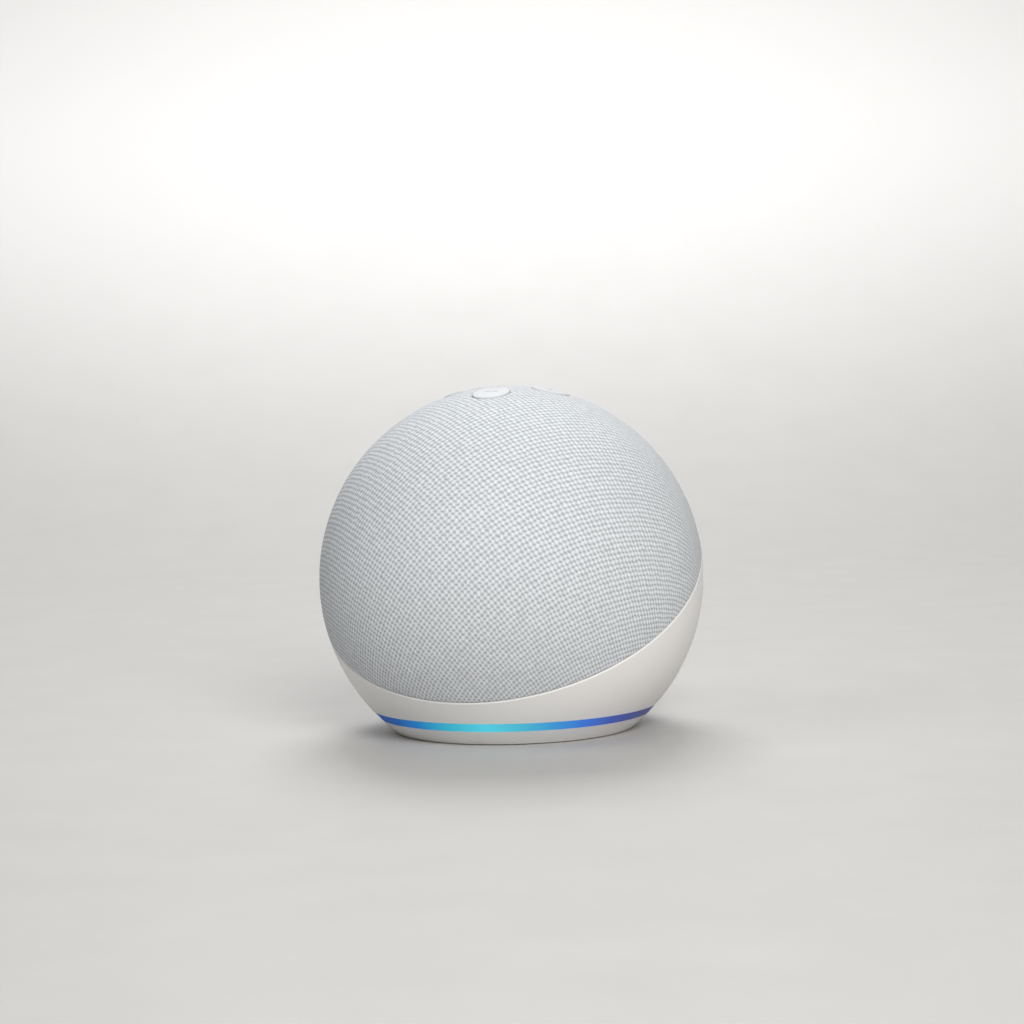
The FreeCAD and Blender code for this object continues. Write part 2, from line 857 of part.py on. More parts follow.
def acoustic_box_rear(whole):
    """Rear half with the through columns and the passage for the speaker leads."""
    split = s.gasket_wall - s.box_split
    rear = block("rear_side", (-s.beyond, split, 0), (s.beyond, s.beyond, s.beyond * 2))
    half = common("rear_half", whole, rear)
    tubes = common("rear_tubes", box_form("tube_limit", s.box_wall / 2),
                   gather("rear_columns", *columns("rear_column", s.column_radius, split, s.beyond)))
    solid = fuse("rear_solid", half, tubes)
    tools = columns("rear_bore", clearance(), split - s.overrun, s.beyond)
    tools += columns("rear_head_bore", s.screw_head + s.shank_play, s.box_back - s.head_pocket, s.beyond)
    tools += [
        rod("board_pilot", pilot(), (x, s.box_back - s.overrun, z), s.box_standoff, "y")
        for x, z in BOARD_SCREWS
    ]
    tools.append(rod("lead_passage", s.grommet_radius,
                     (0, s.box_back - s.box_wall - s.overrun, s.lead_height), s.beyond, "y"))
    return node("acoustic_box_rear", cut("rear_cut", solid, *tools, *box_pilots("rear")))


def box_gasket():
    """Soft ring squeezed between the two halves of the box."""
    slab = block("gasket_slab", (-s.beyond, -s.box_split, 0),
                 (s.beyond, s.gasket_wall - s.box_split, s.beyond * 2))
    ring = cut("gasket_ring", box_form("gasket_outside", 0.0), box_form("gasket_inside", s.box_wall))
    return node("box_gasket", common("gasket_common", ring, slab))


def box_screws():
    """Four screws along the columns that close the box."""
    parts = [
        screw("box_screw", lambda y, x=x, z=z: (x, y, z + s.centre_height), s.box_back - s.head_pocket,
              -s.column_tip, axis="y")
        for x, z in around(s.column_circle, 4)
    ]
    return node("box_screws", gather("box_screw_set", *parts))


# ---------------------------------------------------------------- loudspeaker

FORWARD = Placement(
    Vector(0, -s.box_front.value, s.centre_height.value), Rotation(Vector(1, 0, 0), 90))


def driver_part(name, *outlines):
    """Round loudspeaker part: its own +Z axis points out of the front of the ball."""
    body = turned(name + "_body", *outlines, place=FORWARD)
    body.setExpression("Placement.Base.y", (-s.box_front).formula)
    body.setExpression("Placement.Base.z", s.centre_height.formula)
    return body


def driver_windows():
    """Four openings through the basket's conical wall."""
    front, back = s.window_front - s.box_front, s.window_back - s.box_front
    near, far, half, z = s.window_near, s.window_far, s.window_half, s.centre_height
    return [
        block("window_high", (-half, front, z + near), (half, back, z + far)),
        block("window_low", (-half, front, z - far), (half, back, z - near)),
        block("window_right", (near, front, z - half), (far, back, z + half)),
        block("window_left", (-far, front, z - half), (-near, back, z + half)),
    ]


def flange_holes(name):
    """Four holes for the driver's screws, through the flange and the gasket."""
    start = -s.box_front - s.flange_front - s.overrun
    return [
        rod(name, clearance(), (x, start, z + s.centre_height), s.box_standoff, "y")
        for x, z in around(s.driver_screw_circle, 4)
    ]


def driver_basket():
    """Pressed frame: front flange, conical wall with four windows, and a rear ring."""
    wall = s.basket_radius - s.basket_inner
    seat_top = s.plate_front + s.basket_floor
    frame = driver_part("basket", [
        (s.basket_inner, s.flange_back),
        (s.basket_neck, s.basket_waist),
        (s.basket_neck, seat_top),
        (s.basket_seat, seat_top),
        (s.basket_seat, s.plate_front),
        (s.plate_radius, s.plate_front),
        (s.basket_neck + wall, s.basket_shoulder),
        (s.basket_radius, s.flange_back),
        (s.flange_radius, s.flange_back),
        (s.flange_radius, s.flange_front),
        (s.basket_inner, s.flange_front),
    ])
    return node("driver_basket", cut("basket_cut", frame, *driver_windows(), *flange_holes("flange_hole")))


def driver_gasket():
    """Foam ring between the driver's flange and the baffle."""
    ring = driver_part("flange_gasket", hoop(
        s.basket_radius + s.head_play, s.flange_radius, 0.0, s.flange_back))
    return node("driver_gasket", cut("driver_gasket_cut", ring, *flange_holes("gasket_hole")))


def driver_screws():
    """Four screws through the driver's flange into the baffle."""
    seat = -s.box_front - s.flange_front - s.hair_gap
    parts = [
        screw("driver_screw", lambda y, x=x, z=z: (x, y, z + s.centre_height), seat,
              s.driver_tip - s.box_front, head=s.driver_head, axis="y")
        for x, z in around(s.driver_screw_circle, 4)
    ]
    return node("driver_screws", gather("driver_screw_set", *parts))


def driver_motor():
    """Magnet circuit: front plate, ring magnet, and the yoke with its pole piece."""
    plate = hoop(s.plate_hole, s.plate_radius, s.plate_back, s.plate_front)
    magnet = hoop(s.magnet_hole, s.magnet_radius, s.magnet_back, s.plate_back)
    yoke = [
        (0.0, s.yoke_back),
        (s.plate_radius, s.yoke_back),
        (s.plate_radius, s.magnet_back),
        (s.pole_radius, s.magnet_back),
        (s.pole_radius, s.plate_front),
        (0.0, s.plate_front),
    ]
    node("driver_top_plate", driver_part("top_plate", plate))
    node("driver_magnet", driver_part("magnet", magnet))
    node("driver_yoke", driver_part("yoke", yoke))


def driver_moving_parts():
    """Cone, dust cap, coil former and coil, which move together."""
    neck = s.former_outer + s.hair_gap
    slope = (s.cone_front - s.cone_back) / (s.cone_radius - neck)
    cone = [
        (neck, s.cone_back),
        (s.cone_radius, s.cone_front),
        (s.cone_radius, s.cone_front + s.cone_wall),
        (neck, s.cone_back + s.cone_wall),
    ]
    dome_base = s.cone_back + s.cone_wall + slope * s.dome_overlap + s.play
    dome_reach = neck + s.dome_overlap
    rise, thin = s.dome_rise, s.dome_wall
    radius = (dome_reach * dome_reach + rise * rise) / (rise * 2)
    middle = dome_base + rise - radius
    inner = radius - thin
    dome = [
        (dome_reach, dome_base),
        (0.0, dome_base + rise, (0.0, middle), True),
        (0.0, dome_base + rise - thin),
        (chord(inner, dome_base - middle), dome_base, (0.0, middle), False),
    ]
    coil_front = s.plate_front + s.coil_reach
    coil_back = s.plate_back - s.coil_reach
    node("driver_cone", driver_part("cone", cone))
    node("dust_cap", driver_part("cap_dome", dome))
    node("voice_coil_former", driver_part(
        "former", hoop(s.former_inner, s.former_outer, coil_back, s.cone_back + s.cone_wall)))
    node("voice_coil", driver_part("coil", hoop(s.former_outer, s.coil_outer, coil_back, coil_front)))


def driver_suspension():
    """Rubber half-roll round the cone, and the corrugated disc round the coil."""
    inner, outer = s.cone_radius + s.play, s.basket_inner - s.play
    middle, roll = (inner + outer) / 2, (outer - inner) / 2
    wall, base = s.surround_wall, s.flange_front
    surround = [
        (outer, base, (middle, base), False),
        (outer - wall, base),
        (inner + wall, base, (middle, base), True),
        (inner, base),
    ]
    node("driver_surround", driver_part("surround", surround))
    level = s.spider_level
    node("driver_spider", driver_part("spider", hoop(
        s.former_outer + s.play, s.basket_neck - s.play * 2, level, level + s.spider_wall)))


def lead_places():
    """The two leads' distances from the middle."""
    return (-s.lead_offset, s.lead_offset)


def driver_terminals():
    """Two contact tags under the basket, on a small carrier."""
    face, level = -s.box_front, s.lead_height
    tags = [
        block("tag", (x - s.tag_half, face + s.tag_front, level - s.tag_thin),
              (x + s.tag_half, face + s.tag_back, level + s.tag_thin))
        for x in lead_places()
    ]
    carrier = block("tag_board", (-s.tag_board_half, face + s.tag_board_front, level + s.tag_thin),
                    (s.tag_board_half, face + s.tag_board_back,
                     s.centre_height - s.plate_radius - s.tag_board_gap))
    return node("driver_terminals", fuse("tags", carrier, *tags))


def speaker_leads():
    """Two short wires from the driver's tags through the box's back wall to the board."""
    start = s.tag_back - s.box_front
    wires = [
        rod("lead", s.lead_radius, (x, start, s.lead_height), s.board_front - start, "y")
        for x in lead_places()
    ]
    return node("speaker_leads", gather("leads", *wires))


def lead_grommet():
    """Rubber plug that seals the leads in the box's back wall."""
    inside = s.box_back - s.box_wall
    plug = rod("plug", s.grommet_radius - s.hair_gap, (0, inside, s.lead_height), s.box_wall, "y")
    before = inside - s.overrun
    holes = [
        rod("wire_hole", s.lead_radius + s.hair_gap, (x, before, s.lead_height), s.box_standoff, "y")
        for x in lead_places()
    ]
    return node("lead_grommet", cut("grommet_cut", plug, *holes))


# ---------------------------------------------------------------- main board


def main_board():
    """Upright circuit board behind the acoustic box."""
    before = s.board_front - s.overrun
    sheet = block("board_sheet", (-s.board_half, s.board_front, s.board_low),
                  (s.board_half, s.board_back, s.board_high))
    middle = (0, before, s.centre_height - s.board_lift)
    limit = rod("board_limit", s.board_round, middle, s.box_standoff, "y")
    holes = [rod("board_hole", clearance(), (x, before, z), s.box_standoff, "y") for x, z in BOARD_SCREWS]
    return node("main_board", cut("board_cut", common("board_form", sheet, limit), *holes))


def board_screws():
    """Four screws that hold the main board to the acoustic box."""
    parts = [
        screw("board_screw", lambda y, x=x, z=z: (x, y, z), s.board_back + s.hair_gap,
              s.box_back - s.overrun / 2, axis="y")
        for x, z in BOARD_SCREWS
    ]
    return node("board_screws", gather("board_screw_set", *parts))


def on_board(name, x, z, half_width, half_height, depth, start=0.0):
    """Rectangular piece on the back of the main board."""
    low = (x - half_width, s.board_back + start, z - half_height)
    high = (x + half_width, s.board_back + start + depth, z + half_height)
    return block(name, low, high)


def shields():
    """Two metal cans over the processor and the radio."""
    wall = s.can_wall
    for label, x, z, half_width, half_height in SHIELDS:
        can = on_board(label + "_can", x, z, half_width, half_height, s.can_depth)
        void = on_board(label + "_void", x, z, half_width - wall, half_height - wall, s.can_depth - wall)
        node(label, cut(label + "_cut", can, void))


def heat_path():
    """Soft thermal pad on the processor's can, and the finned aluminium heat sink on it."""
    x, z, width, height = s.processor_x, s.processor_z, s.sink_half_width, s.sink_half_height
    node("thermal_pad", on_board("pad", x, z, s.gel_half_width, s.gel_half_height, s.gel_depth, s.can_depth))
    base = s.can_depth + s.gel_depth
    plate = on_board("sink_plate", x, z, width, height, s.sink_plate, base)
    count = SIZES["fin_count"]
    fins = [
        on_board("fin", x + s.fin_pitch * (step - (count - 1) / 2), z, s.fin_half, height, s.fin_height,
                 base + s.sink_plate)
        for step in range(count)
    ]
    node("heat_sink", fuse("sink", plate, *fins))


def board_components():
    """Capacitors, coils and chips on the back of the main board."""
    cans = [
        rod("capacitor", s.capacitor_radius, (x, s.board_back, z), s.capacitor_height, "y")
        for x, z in CAPACITORS
    ]
    chips = [on_board("chip", *chip) for chip in CHIPS]
    return node("board_components", gather("components", *cans, *chips))


def dc_jack():
    """Round power socket: a body with a bore, and the contact pin in its middle."""
    place = (0, s.board_back, s.jack_height)
    mouth = (0, s.jack_bore_start, s.jack_height)
    root = (0, s.board_back + s.overrun, s.jack_height)
    root_length = s.jack_bore_start - s.board_back - s.overrun
    body = rod("jack_body", s.jack_radius, place, s.jack_end - s.board_back, "y")
    bore = rod("jack_bore_tool", s.jack_bore, mouth, s.ball_radius, "y")
    seat = rod("pin_seat", s.pin_root, root, root_length + s.overrun, "y")
    node("dc_jack", cut("jack_cut", body, bore, seat))
    free_end = rod("pin_free_end", s.pin_radius, mouth, s.pin_end - s.jack_bore_start, "y")
    shank = rod("pin_shank", s.pin_root, root, root_length, "y")
    node("dc_jack_pin", fuse("pin", free_end, shank))


def antennas():
    """Two bent metal antennas standing on the board's upper corners."""
    for label, side in (("antenna_left", -1), ("antenna_right", 1)):
        foot = on_board(label + "_foot", s.antenna_foot_x * side, s.antenna_foot_z,
                        s.antenna_foot_half_width, s.antenna_foot_half_height, s.antenna_foot_depth)
        wall = on_board(label + "_wall", s.antenna_x * side, s.antenna_z,
                        s.antenna_half, s.antenna_half_height, s.antenna_depth)
        node(label, fuse(label + "_sheet", foot, wall))


def ribbons():
    """Flat cables to the light board and to the button board."""
    thin, half = s.ribbon_wall, s.ribbon_half
    face, low = s.light_ribbon_face, s.light_board_top
    node("led_ribbon", strip(
        "light_strip", half,
        (face, low),
        (face + thin, low),
        (face + thin, s.light_ribbon_end),
        (face, s.light_ribbon_end),
    ))
    bend, level, end = s.ribbon_bend, s.ribbon_level, s.ribbon_end
    start, turn_y = s.ribbon_start, s.ribbon_turn
    middle = (turn_y, level - bend)
    node("button_ribbon", strip(
        "button_strip", half,
        (start, level),
        (start, level - thin),
        (turn_y, level - thin),
        (turn_y + bend - thin, level - bend, middle, False),
        (turn_y + bend - thin, end),
        (turn_y + bend, end),
        (turn_y + bend, level - bend),
        (turn_y, level, middle, True),
    ))


def ribbon_connectors():
    """Sockets at the ends of the two flat cables, with a slot for each cable's end."""
    half, back, top = s.socket_half, s.board_back, s.top_board_high
    wide, play = s.ribbon_half + s.slot_play, s.slot_play / 2
    lower, upper = s.light_ribbon_face, s.ribbon_turn + s.ribbon_bend - s.ribbon_wall
    start, level = s.ribbon_start, s.ribbon_level - s.ribbon_wall
    starts = (s.low_socket, s.high_socket, s.top_socket)
    low_end, high_end, top_end = (place + s.socket_length for place in starts)
    sockets = [
        block("low_socket", (-half, back, s.low_socket), (half, back + s.socket_depth, low_end)),
        block("high_socket", (-half, back, s.high_socket), (half, back + s.socket_depth, high_end)),
        block("top_socket", (-half, s.top_socket, top), (half, top_end, top + s.top_socket_height)),
    ]
    slots = [
        block("low_slot", (-wide, lower - play, s.low_socket - s.shank_play),
              (wide, lower + s.ribbon_wall + play, s.light_ribbon_end + s.shank_play)),
        block("high_slot", (-wide, upper - play, s.ribbon_end - s.slot_play),
              (wide, upper + s.ribbon_wall + play, high_end + s.shank_play)),
        block("top_slot", (-wide, start - s.slot_play, level - play),
              (wide, top_end + s.shank_play, level + s.ribbon_wall + play)),
    ]
    return node("ribbon_connectors", cut("sockets", gather("socket_set", *sockets), *slots))


# ---------------------------------------------------------------- buttons


def button_board():
    """Round circuit board under the buttons."""
    low, high = s.top_board_low, s.top_board_high
    plate = rod("button_disc", s.top_board_radius, (0, 0, low), high - low)
    holes = top_posts("button_board_hole", clearance(), low - s.overrun, high + s.overrun)
    return node("button_board", cut("button_board_cut", plate, *holes))


def button_carrier():
    """Plate with four posts that spaces the board from the buttons and guides their stems."""
    base, low, high = s.top_board_high, s.carrier_low, s.carrier_high
    plate = rod("carrier_plate", s.carrier_radius, (0, 0, low), high - low)
    posts = top_posts("carrier_post", s.post_radius, base, high)
    holes = top_posts("carrier_hole", clearance(), base - s.overrun, high + s.overrun)
    for _, x, y in BUTTONS:
        place = (s.button_circle * x, s.button_circle * y, base)
        holes.append(rod("stem_hole", s.stem_radius + s.stem_play, place, s.box_standoff))
    holes += [
        rod("microphone_pass", s.microphone_pass, (x, y, base), s.box_standoff)
        for x, y in corners(s.microphone_offset)
    ]
    return node("button_carrier", cut("carrier_cut", fuse("carrier_whole", plate, *posts), *holes))


def button_board_screws():
    """Four long screws through the carrier and the board into the acoustic box."""
    parts = [
        screw("button_screw", lambda z, x=x, y=y: (x, y, z), s.carrier_high + s.hair_gap,
              s.box_top - s.screw_reach, head=s.small_head)
        for x, y in corners(s.post_offset)
    ]
    return node("button_board_screws", gather("button_screw_set", *parts))


def tact_switches():
    """Four press switches on the button board."""
    half, base = s.switch_half, s.top_board_high
    switches, bores = [], []
    for name, x, y in BUTTONS:
        cx, cy = s.button_circle * x, s.button_circle * y
        switches.append(block("switch_" + name, (cx - half, cy - half, base),
                              (cx + half, cy + half, base + s.switch_height)))
        bore_floor = (cx, cy, base + s.switch_floor)
        bores.append(rod("switch_bore_" + name, s.switch_bore, bore_floor, s.box_standoff))
    return node("tact_switches", cut("switch_cut", gather("switch_set", *switches), *bores))


def ring_mark(name, cx, cy, radius, width):
    """Upright tube that engraves a circle."""
    outside = rod(name + "_outside", radius, (cx, cy, s.flange_high), s.beyond)
    inside = rod(name + "_inside", radius - width, (cx, cy, s.flange_high), s.beyond)
    return cut(name, outside, inside)


def mark_tools(name, cx, cy):
    """Upright prisms of one button's generic sign: plus, minus, dot, or a crossed circle."""
    half, thin, low, high = s.mark_length / 2, s.mark_width / 2, s.flange_high, s.beyond * 2
    if name == "action":
        return [rod(name + "_dot", s.dot_radius, (cx, cy, low), s.beyond)]
    bar = block(name + "_bar", (cx - half, cy - thin, low), (cx + half, cy + thin, high))
    if name == "volume_down":
        return [bar]
    if name == "volume_up":
        return [bar, block(name + "_post", (cx - thin, cy - half, low), (cx + thin, cy + half, high))]
    bar.Placement = Placement(Vector(), Rotation(Vector(0, 0, 1), 45))
    slant = math.sqrt(0.5)
    spot(bar, cx - (half - thin) * slant, cy - (half + thin) * slant, low)
    return [bar, ring_mark(name + "_circle", cx, cy, half, s.mark_width)]


def top_edges(dome):
    """The fillet list for a domed column's upper rim."""
    return [
        (number + 1, s.cap_round.value, s.cap_round.value)
        for number, edge in enumerate(dome.Shape.Edges)
        if edge.BoundBox.ZMin > s.guide_bottom.value and not edge.isSeam(dome.Shape.Faces[0])
        and edge.Length > 2 * s.cap_radius.value
    ]


def button_cap(name, x, y):
    """Domed cap with a flange under the shell, a stem, and an engraved sign."""
    cx, cy = s.button_circle * x, s.button_circle * y
    column = rod(name + "_column", s.cap_radius, (cx, cy, s.flange_low), s.beyond)
    dome = common(name + "_dome", column, ball(name + "_limit", s.ball_radius + s.cap_proud))
    doc.recompute()
    soft = doc.addObject("Part::Fillet", name + "_soft")
    soft.Base = dome
    soft.Edges = top_edges(dome)
    flange = rod(name + "_flange", s.cap_flange, (cx, cy, s.flange_low), s.flange_high - s.flange_low)
    stem = rod(name + "_stem", s.stem_radius, (cx, cy, s.stem_bottom), s.flange_high - s.stem_bottom)
    floor = ball(name + "_mark_floor", s.ball_radius + s.cap_proud - s.mark_depth)
    prisms = mark_tools(name, cx, cy)
    prism = prisms[0] if len(prisms) == 1 else fuse(name + "_prism", *prisms)
    sign = cut(name + "_sign", prism, floor)
    whole = fuse(name + "_whole", soft, flange, stem)
    node(name + "_button", cut(name + "_cut", whole, sign))
    seat = s.top_board_high + s.plunger_seat
    node(name + "_plunger", rod(name + "_pin", s.plunger_radius, (cx, cy, seat), s.stem_bottom - seat))


def microphones():
    """Four microphones on the button board, each with a sound hole on top and a foam seal."""
    wide, deep, base = s.microphone_half_width, s.microphone_half_depth, s.top_board_high
    top = base + s.microphone_height
    cans, bores, seals = [], [], []
    for x, y in corners(s.microphone_offset):
        cans.append(block("microphone_can", (x - wide, y - deep, base), (x + wide, y + deep, top)))
        port_floor = (x, y, top - s.microphone_skin)
        bores.append(rod("microphone_port", s.microphone_port, port_floor, s.overrun * 2))
        tube = rod("seal_tube", s.seal_radius, (x, y, top), s.seal_height)
        seals.append(cut("seal", tube, rod("seal_bore", s.microphone_bore, (x, y, base), s.box_standoff * 2)))
    node("microphones", cut("microphone_cut", gather("microphone_set", *cans), *bores))
    node("microphone_seals", gather("seal_set", *seals))


def mute_led():
    """Small lamp beside the microphone button's switch."""
    x, y, base = s.mute_x, s.mute_y, s.top_board_high
    return node("mute_led", block("mute_lamp", (x, y, base),
                                  (x + s.mute_length, y + s.mute_width, base + s.mute_height)))


# ---------------------------------------------------------------- whole speaker


def build():
    """Build every sub-part."""
    for piece in (fabric_cover, grille_shell, lower_housing, light_ring, base_cover, foot_pad,
                  base_screws, frame_screws, led_board, light_leds, light_reflector):
        piece()
    whole = box_whole()
    acoustic_box_front(whole)
    acoustic_box_rear(whole)
    for piece in (box_gasket, box_screws, driver_basket, driver_gasket, driver_screws, driver_motor,
                  driver_moving_parts, driver_suspension, driver_terminals, speaker_leads, lead_grommet,
                  main_board, board_screws, shields, heat_path, board_components, dc_jack, antennas,
                  ribbons, ribbon_connectors, button_board, button_carrier, button_board_screws,
                  tact_switches, microphones, mute_led):
        piece()
    for name, x, y in BUTTONS:
        button_cap(name, x, y)


def check():
    """Stop unless every object is computed and every sub-part is a valid solid."""
    for item in doc.Objects:
        if {"Invalid", "Error"} & set(item.State):
            raise RuntimeError("%s failed: %s" % (item.Label, item.State))
    for item in nodes:
        shape = item.Shape
        if shape.isNull() or not shape.isValid() or not shape.Solids:
            raise RuntimeError("%s has no valid solid" % item.Label)


build()
doc.recompute()
check()
os.makedirs("parts", exist_ok=True)
for item in nodes:
    item.Shape.exportStep("parts/%s.step" % item.Label)
    print("%-22s %2d solid(s) %10.1f mm3" % (item.Label, len(item.Shape.Solids), item.Shape.Volume))
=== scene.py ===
"""Looks of a ball-shaped smart speaker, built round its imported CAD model.

The knitted cover is a new surface that replaces its plain CAD shell. Every other piece keeps its CAD shape
and gets a procedural finish. All lengths are metres, +Z is up and the front of the speaker faces -Y.
"""

from __future__ import annotations

import logging
import math
from dataclasses import dataclass
from enum import Enum
from typing import Sequence, Union

import bpy
import numpy as np
from mathutils import Matrix, Vector


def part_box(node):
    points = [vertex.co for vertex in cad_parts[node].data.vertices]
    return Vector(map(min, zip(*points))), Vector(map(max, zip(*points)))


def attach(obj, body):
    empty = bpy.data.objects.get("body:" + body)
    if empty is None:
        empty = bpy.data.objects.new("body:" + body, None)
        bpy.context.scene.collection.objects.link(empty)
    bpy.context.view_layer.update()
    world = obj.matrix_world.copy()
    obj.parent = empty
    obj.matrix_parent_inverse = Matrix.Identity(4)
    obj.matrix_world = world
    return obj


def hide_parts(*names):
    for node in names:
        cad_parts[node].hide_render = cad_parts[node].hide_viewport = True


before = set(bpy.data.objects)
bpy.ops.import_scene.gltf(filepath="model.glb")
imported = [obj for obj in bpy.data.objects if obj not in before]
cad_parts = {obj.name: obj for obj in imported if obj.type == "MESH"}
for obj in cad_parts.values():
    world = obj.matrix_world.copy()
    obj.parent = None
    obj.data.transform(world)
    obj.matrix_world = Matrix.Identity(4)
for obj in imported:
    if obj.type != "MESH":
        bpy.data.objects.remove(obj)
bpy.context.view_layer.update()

MM = 0.001
WELD = 0.002 * MM
TINY = 1e-9
QUARTERS = 4
TURN = 2.0 * math.pi
LOG = logging.getLogger("speaker")

Colour = tuple[float, float, float]
Value = Union["Wire", float]


# ---------------------------------------------------------------- shader graph


class Wire:
    """One socket's value in a node tree; arithmetic on it adds Math nodes."""

    def __init__(self, graph: "Graph", socket: bpy.types.NodeSocket) -> None:
        """Keep the tree and the socket."""
        self.graph = graph
        self.socket = socket

    def math(self, operation: str, *values: Value) -> "Wire":
        """Math node on the given values.

        Args:
            operation: the Math node's operation.
            values: its inputs, in order.
        Returns:
            The node's result.
        """
        return self.graph.node("ShaderNodeMath", {"operation": operation}, dict(enumerate(values)))

    def __add__(self, other: Value) -> "Wire":
        """This plus the other."""
        return self.math("ADD", self, other)

    def __radd__(self, other: Value) -> "Wire":
        """The other plus this."""
        return self.math("ADD", other, self)

    def __sub__(self, other: Value) -> "Wire":
        """This minus the other."""
        return self.math("SUBTRACT", self, other)

    def __rsub__(self, other: Value) -> "Wire":
        """The other minus this."""
        return self.math("SUBTRACT", other, self)

    def __mul__(self, other: Value) -> "Wire":
        """This times the other."""
        return self.math("MULTIPLY", self, other)

    def __rmul__(self, other: Value) -> "Wire":
        """The other times this."""
        return self.math("MULTIPLY", other, self)

    def __truediv__(self, other: Value) -> "Wire":
        """This divided by the other."""
        return self.math("DIVIDE", self, other)

    def __pow__(self, other: Value) -> "Wire":
        """This raised to the other."""
        return self.math("POWER", self, other)

    def cos(self) -> "Wire":
        """Cosine of this, in radians."""
        return self.math("COSINE", self)

    def sin(self) -> "Wire":
        """Sine of this, in radians."""
        return self.math("SINE", self)

    def smooth(self, low: float, high: float) -> "Wire":
        """Smooth step of this.

        Args:
            low: where the step is 0.
            high: where the step is 1.
        Returns:
            A value from 0 to 1.
        """
        inputs = {"Value": self, "From Min": low, "From Max": high}
        return self.graph.node("ShaderNodeMapRange", {"interpolation_type": "SMOOTHSTEP"}, inputs)


class Graph:
    """A material's node tree round one Principled shader."""

    def __init__(self, name: str) -> None:
        """Start an empty material with its shader and output."""
        self.material = bpy.data.materials.new(name)
        self.material.use_nodes = True
        self.tree = self.material.node_tree
        self.tree.nodes.clear()
        self.shader = self.tree.nodes.new("ShaderNodeBsdfPrincipled")
        output = self.tree.nodes.new("ShaderNodeOutputMaterial")
        self.tree.links.new(self.shader.outputs["BSDF"], output.inputs["Surface"])

    def feed(self, socket: bpy.types.NodeSocket, value: object) -> None:
        """Link a wire into a socket, or set a plain value on it.

        Args:
            socket: the input to fill.
            value: a wire, a number, a colour or a vector.
        """
        if isinstance(value, Wire):
            self.tree.links.new(value.socket, socket)
        elif socket.type == "RGBA":
            socket.default_value = (*value, 1.0)
        else:
            socket.default_value = value

    def node(self, kind: str, settings: dict | None = None, inputs: dict | None = None,
             output: int | str = 0) -> Wire:
        """Any node of the tree.

        Args:
            kind: the node's type.
            settings: its properties, or "stops" for a ramp's (position, colour) pairs, which are set first.
            inputs: values or wires by socket name or number.
            output: which output to return.
        Returns:
            The chosen output.
        """
        item = self.tree.nodes.new(kind)
        for key, value in (settings or {}).items():
            if key == "stops":
                ramp_stops(item.color_ramp, value)
            else:
                setattr(item, key, value)
        for key, value in (inputs or {}).items():
            self.feed(item.inputs[key], value)
        return Wire(self, item.outputs[output])

    def place(self) -> Wire:
        """Object coordinates of the surface point."""
        return self.node("ShaderNodeTexCoord", output="Object")

    def split(self, vector: Wire) -> tuple[Wire, Wire, Wire]:
        """The three parts of a vector.

        Args:
            vector: the vector's wire.
        Returns:
            Its x, y and z.
        """
        item = self.tree.nodes.new("ShaderNodeSeparateXYZ")
        self.feed(item.inputs[0], vector)
        return tuple(Wire(self, out) for out in item.outputs)

    def noise(self, scale: float, detail: float = 2.0, where: Wire | None = None) -> Wire:
        """Noise from 0 to 1.

        Args:
            scale: how fine, per metre of object space.
            detail: how many finer layers.
            where: the coordinates, or None for object coordinates.
        Returns:
            The noise's value.
        """
        inputs = {"Vector": where or self.place(), "Scale": scale, "Detail": detail}
        return self.node("ShaderNodeTexNoise", None, inputs)

    def mix(self, factor: Value, first: object, second: object) -> Wire:
        """Mix of two colours.

        Args:
            factor: 0 for the first, 1 for the second.
            first: a colour or a wire.
            second: a colour or a wire.
        Returns:
            The mixed colour.
        """
        inputs = {0: factor, 6: first, 7: second}
        return self.node("ShaderNodeMix", {"data_type": "RGBA"}, inputs, output=2)

    def bump(self, height: Value, distance: float) -> None:
        """Feed the shader's normal from a height.

        Args:
            height: the relief, from 0 to 1.
            distance: its depth in metres.
        """
        inputs = {"Height": height, "Distance": distance, "Strength": 1.0}
        self.set("Normal", self.node("ShaderNodeBump", None, inputs))

    def set(self, name: str, value: object) -> None:
        """Set or link one of the shader's sockets."""
        self.feed(self.shader.inputs[name], value)


def ramp_stops(ramp: bpy.types.ColorRamp, stops: Sequence[tuple[float, Colour]]) -> None:
    """Fill a colour ramp.

    Args:
        ramp: the ramp, with its two first stops.
        stops: (position, colour) pairs in order.
    """
    while len(ramp.elements) < len(stops):
        ramp.elements.new(1.0)
    for element, (position, colour) in zip(ramp.elements, stops):
        element.position = position
        element.color = (*colour, 1.0)


def darker(colour: Colour, share: float) -> Colour:
    """The colour times the share."""
    return tuple(part * share for part in colour)


def linear(red: float, green: float, blue: float) -> Colour:
    """Scene colour of a display colour with parts from 0 to 255."""
    parts = (level / 255.0 for level in (red, green, blue))
    return tuple(c / 12.92 if c <= 0.04045 else ((c + 0.055) / 1.055) ** 2.4 for c in parts)


# ---------------------------------------------------------------- shape of the ball


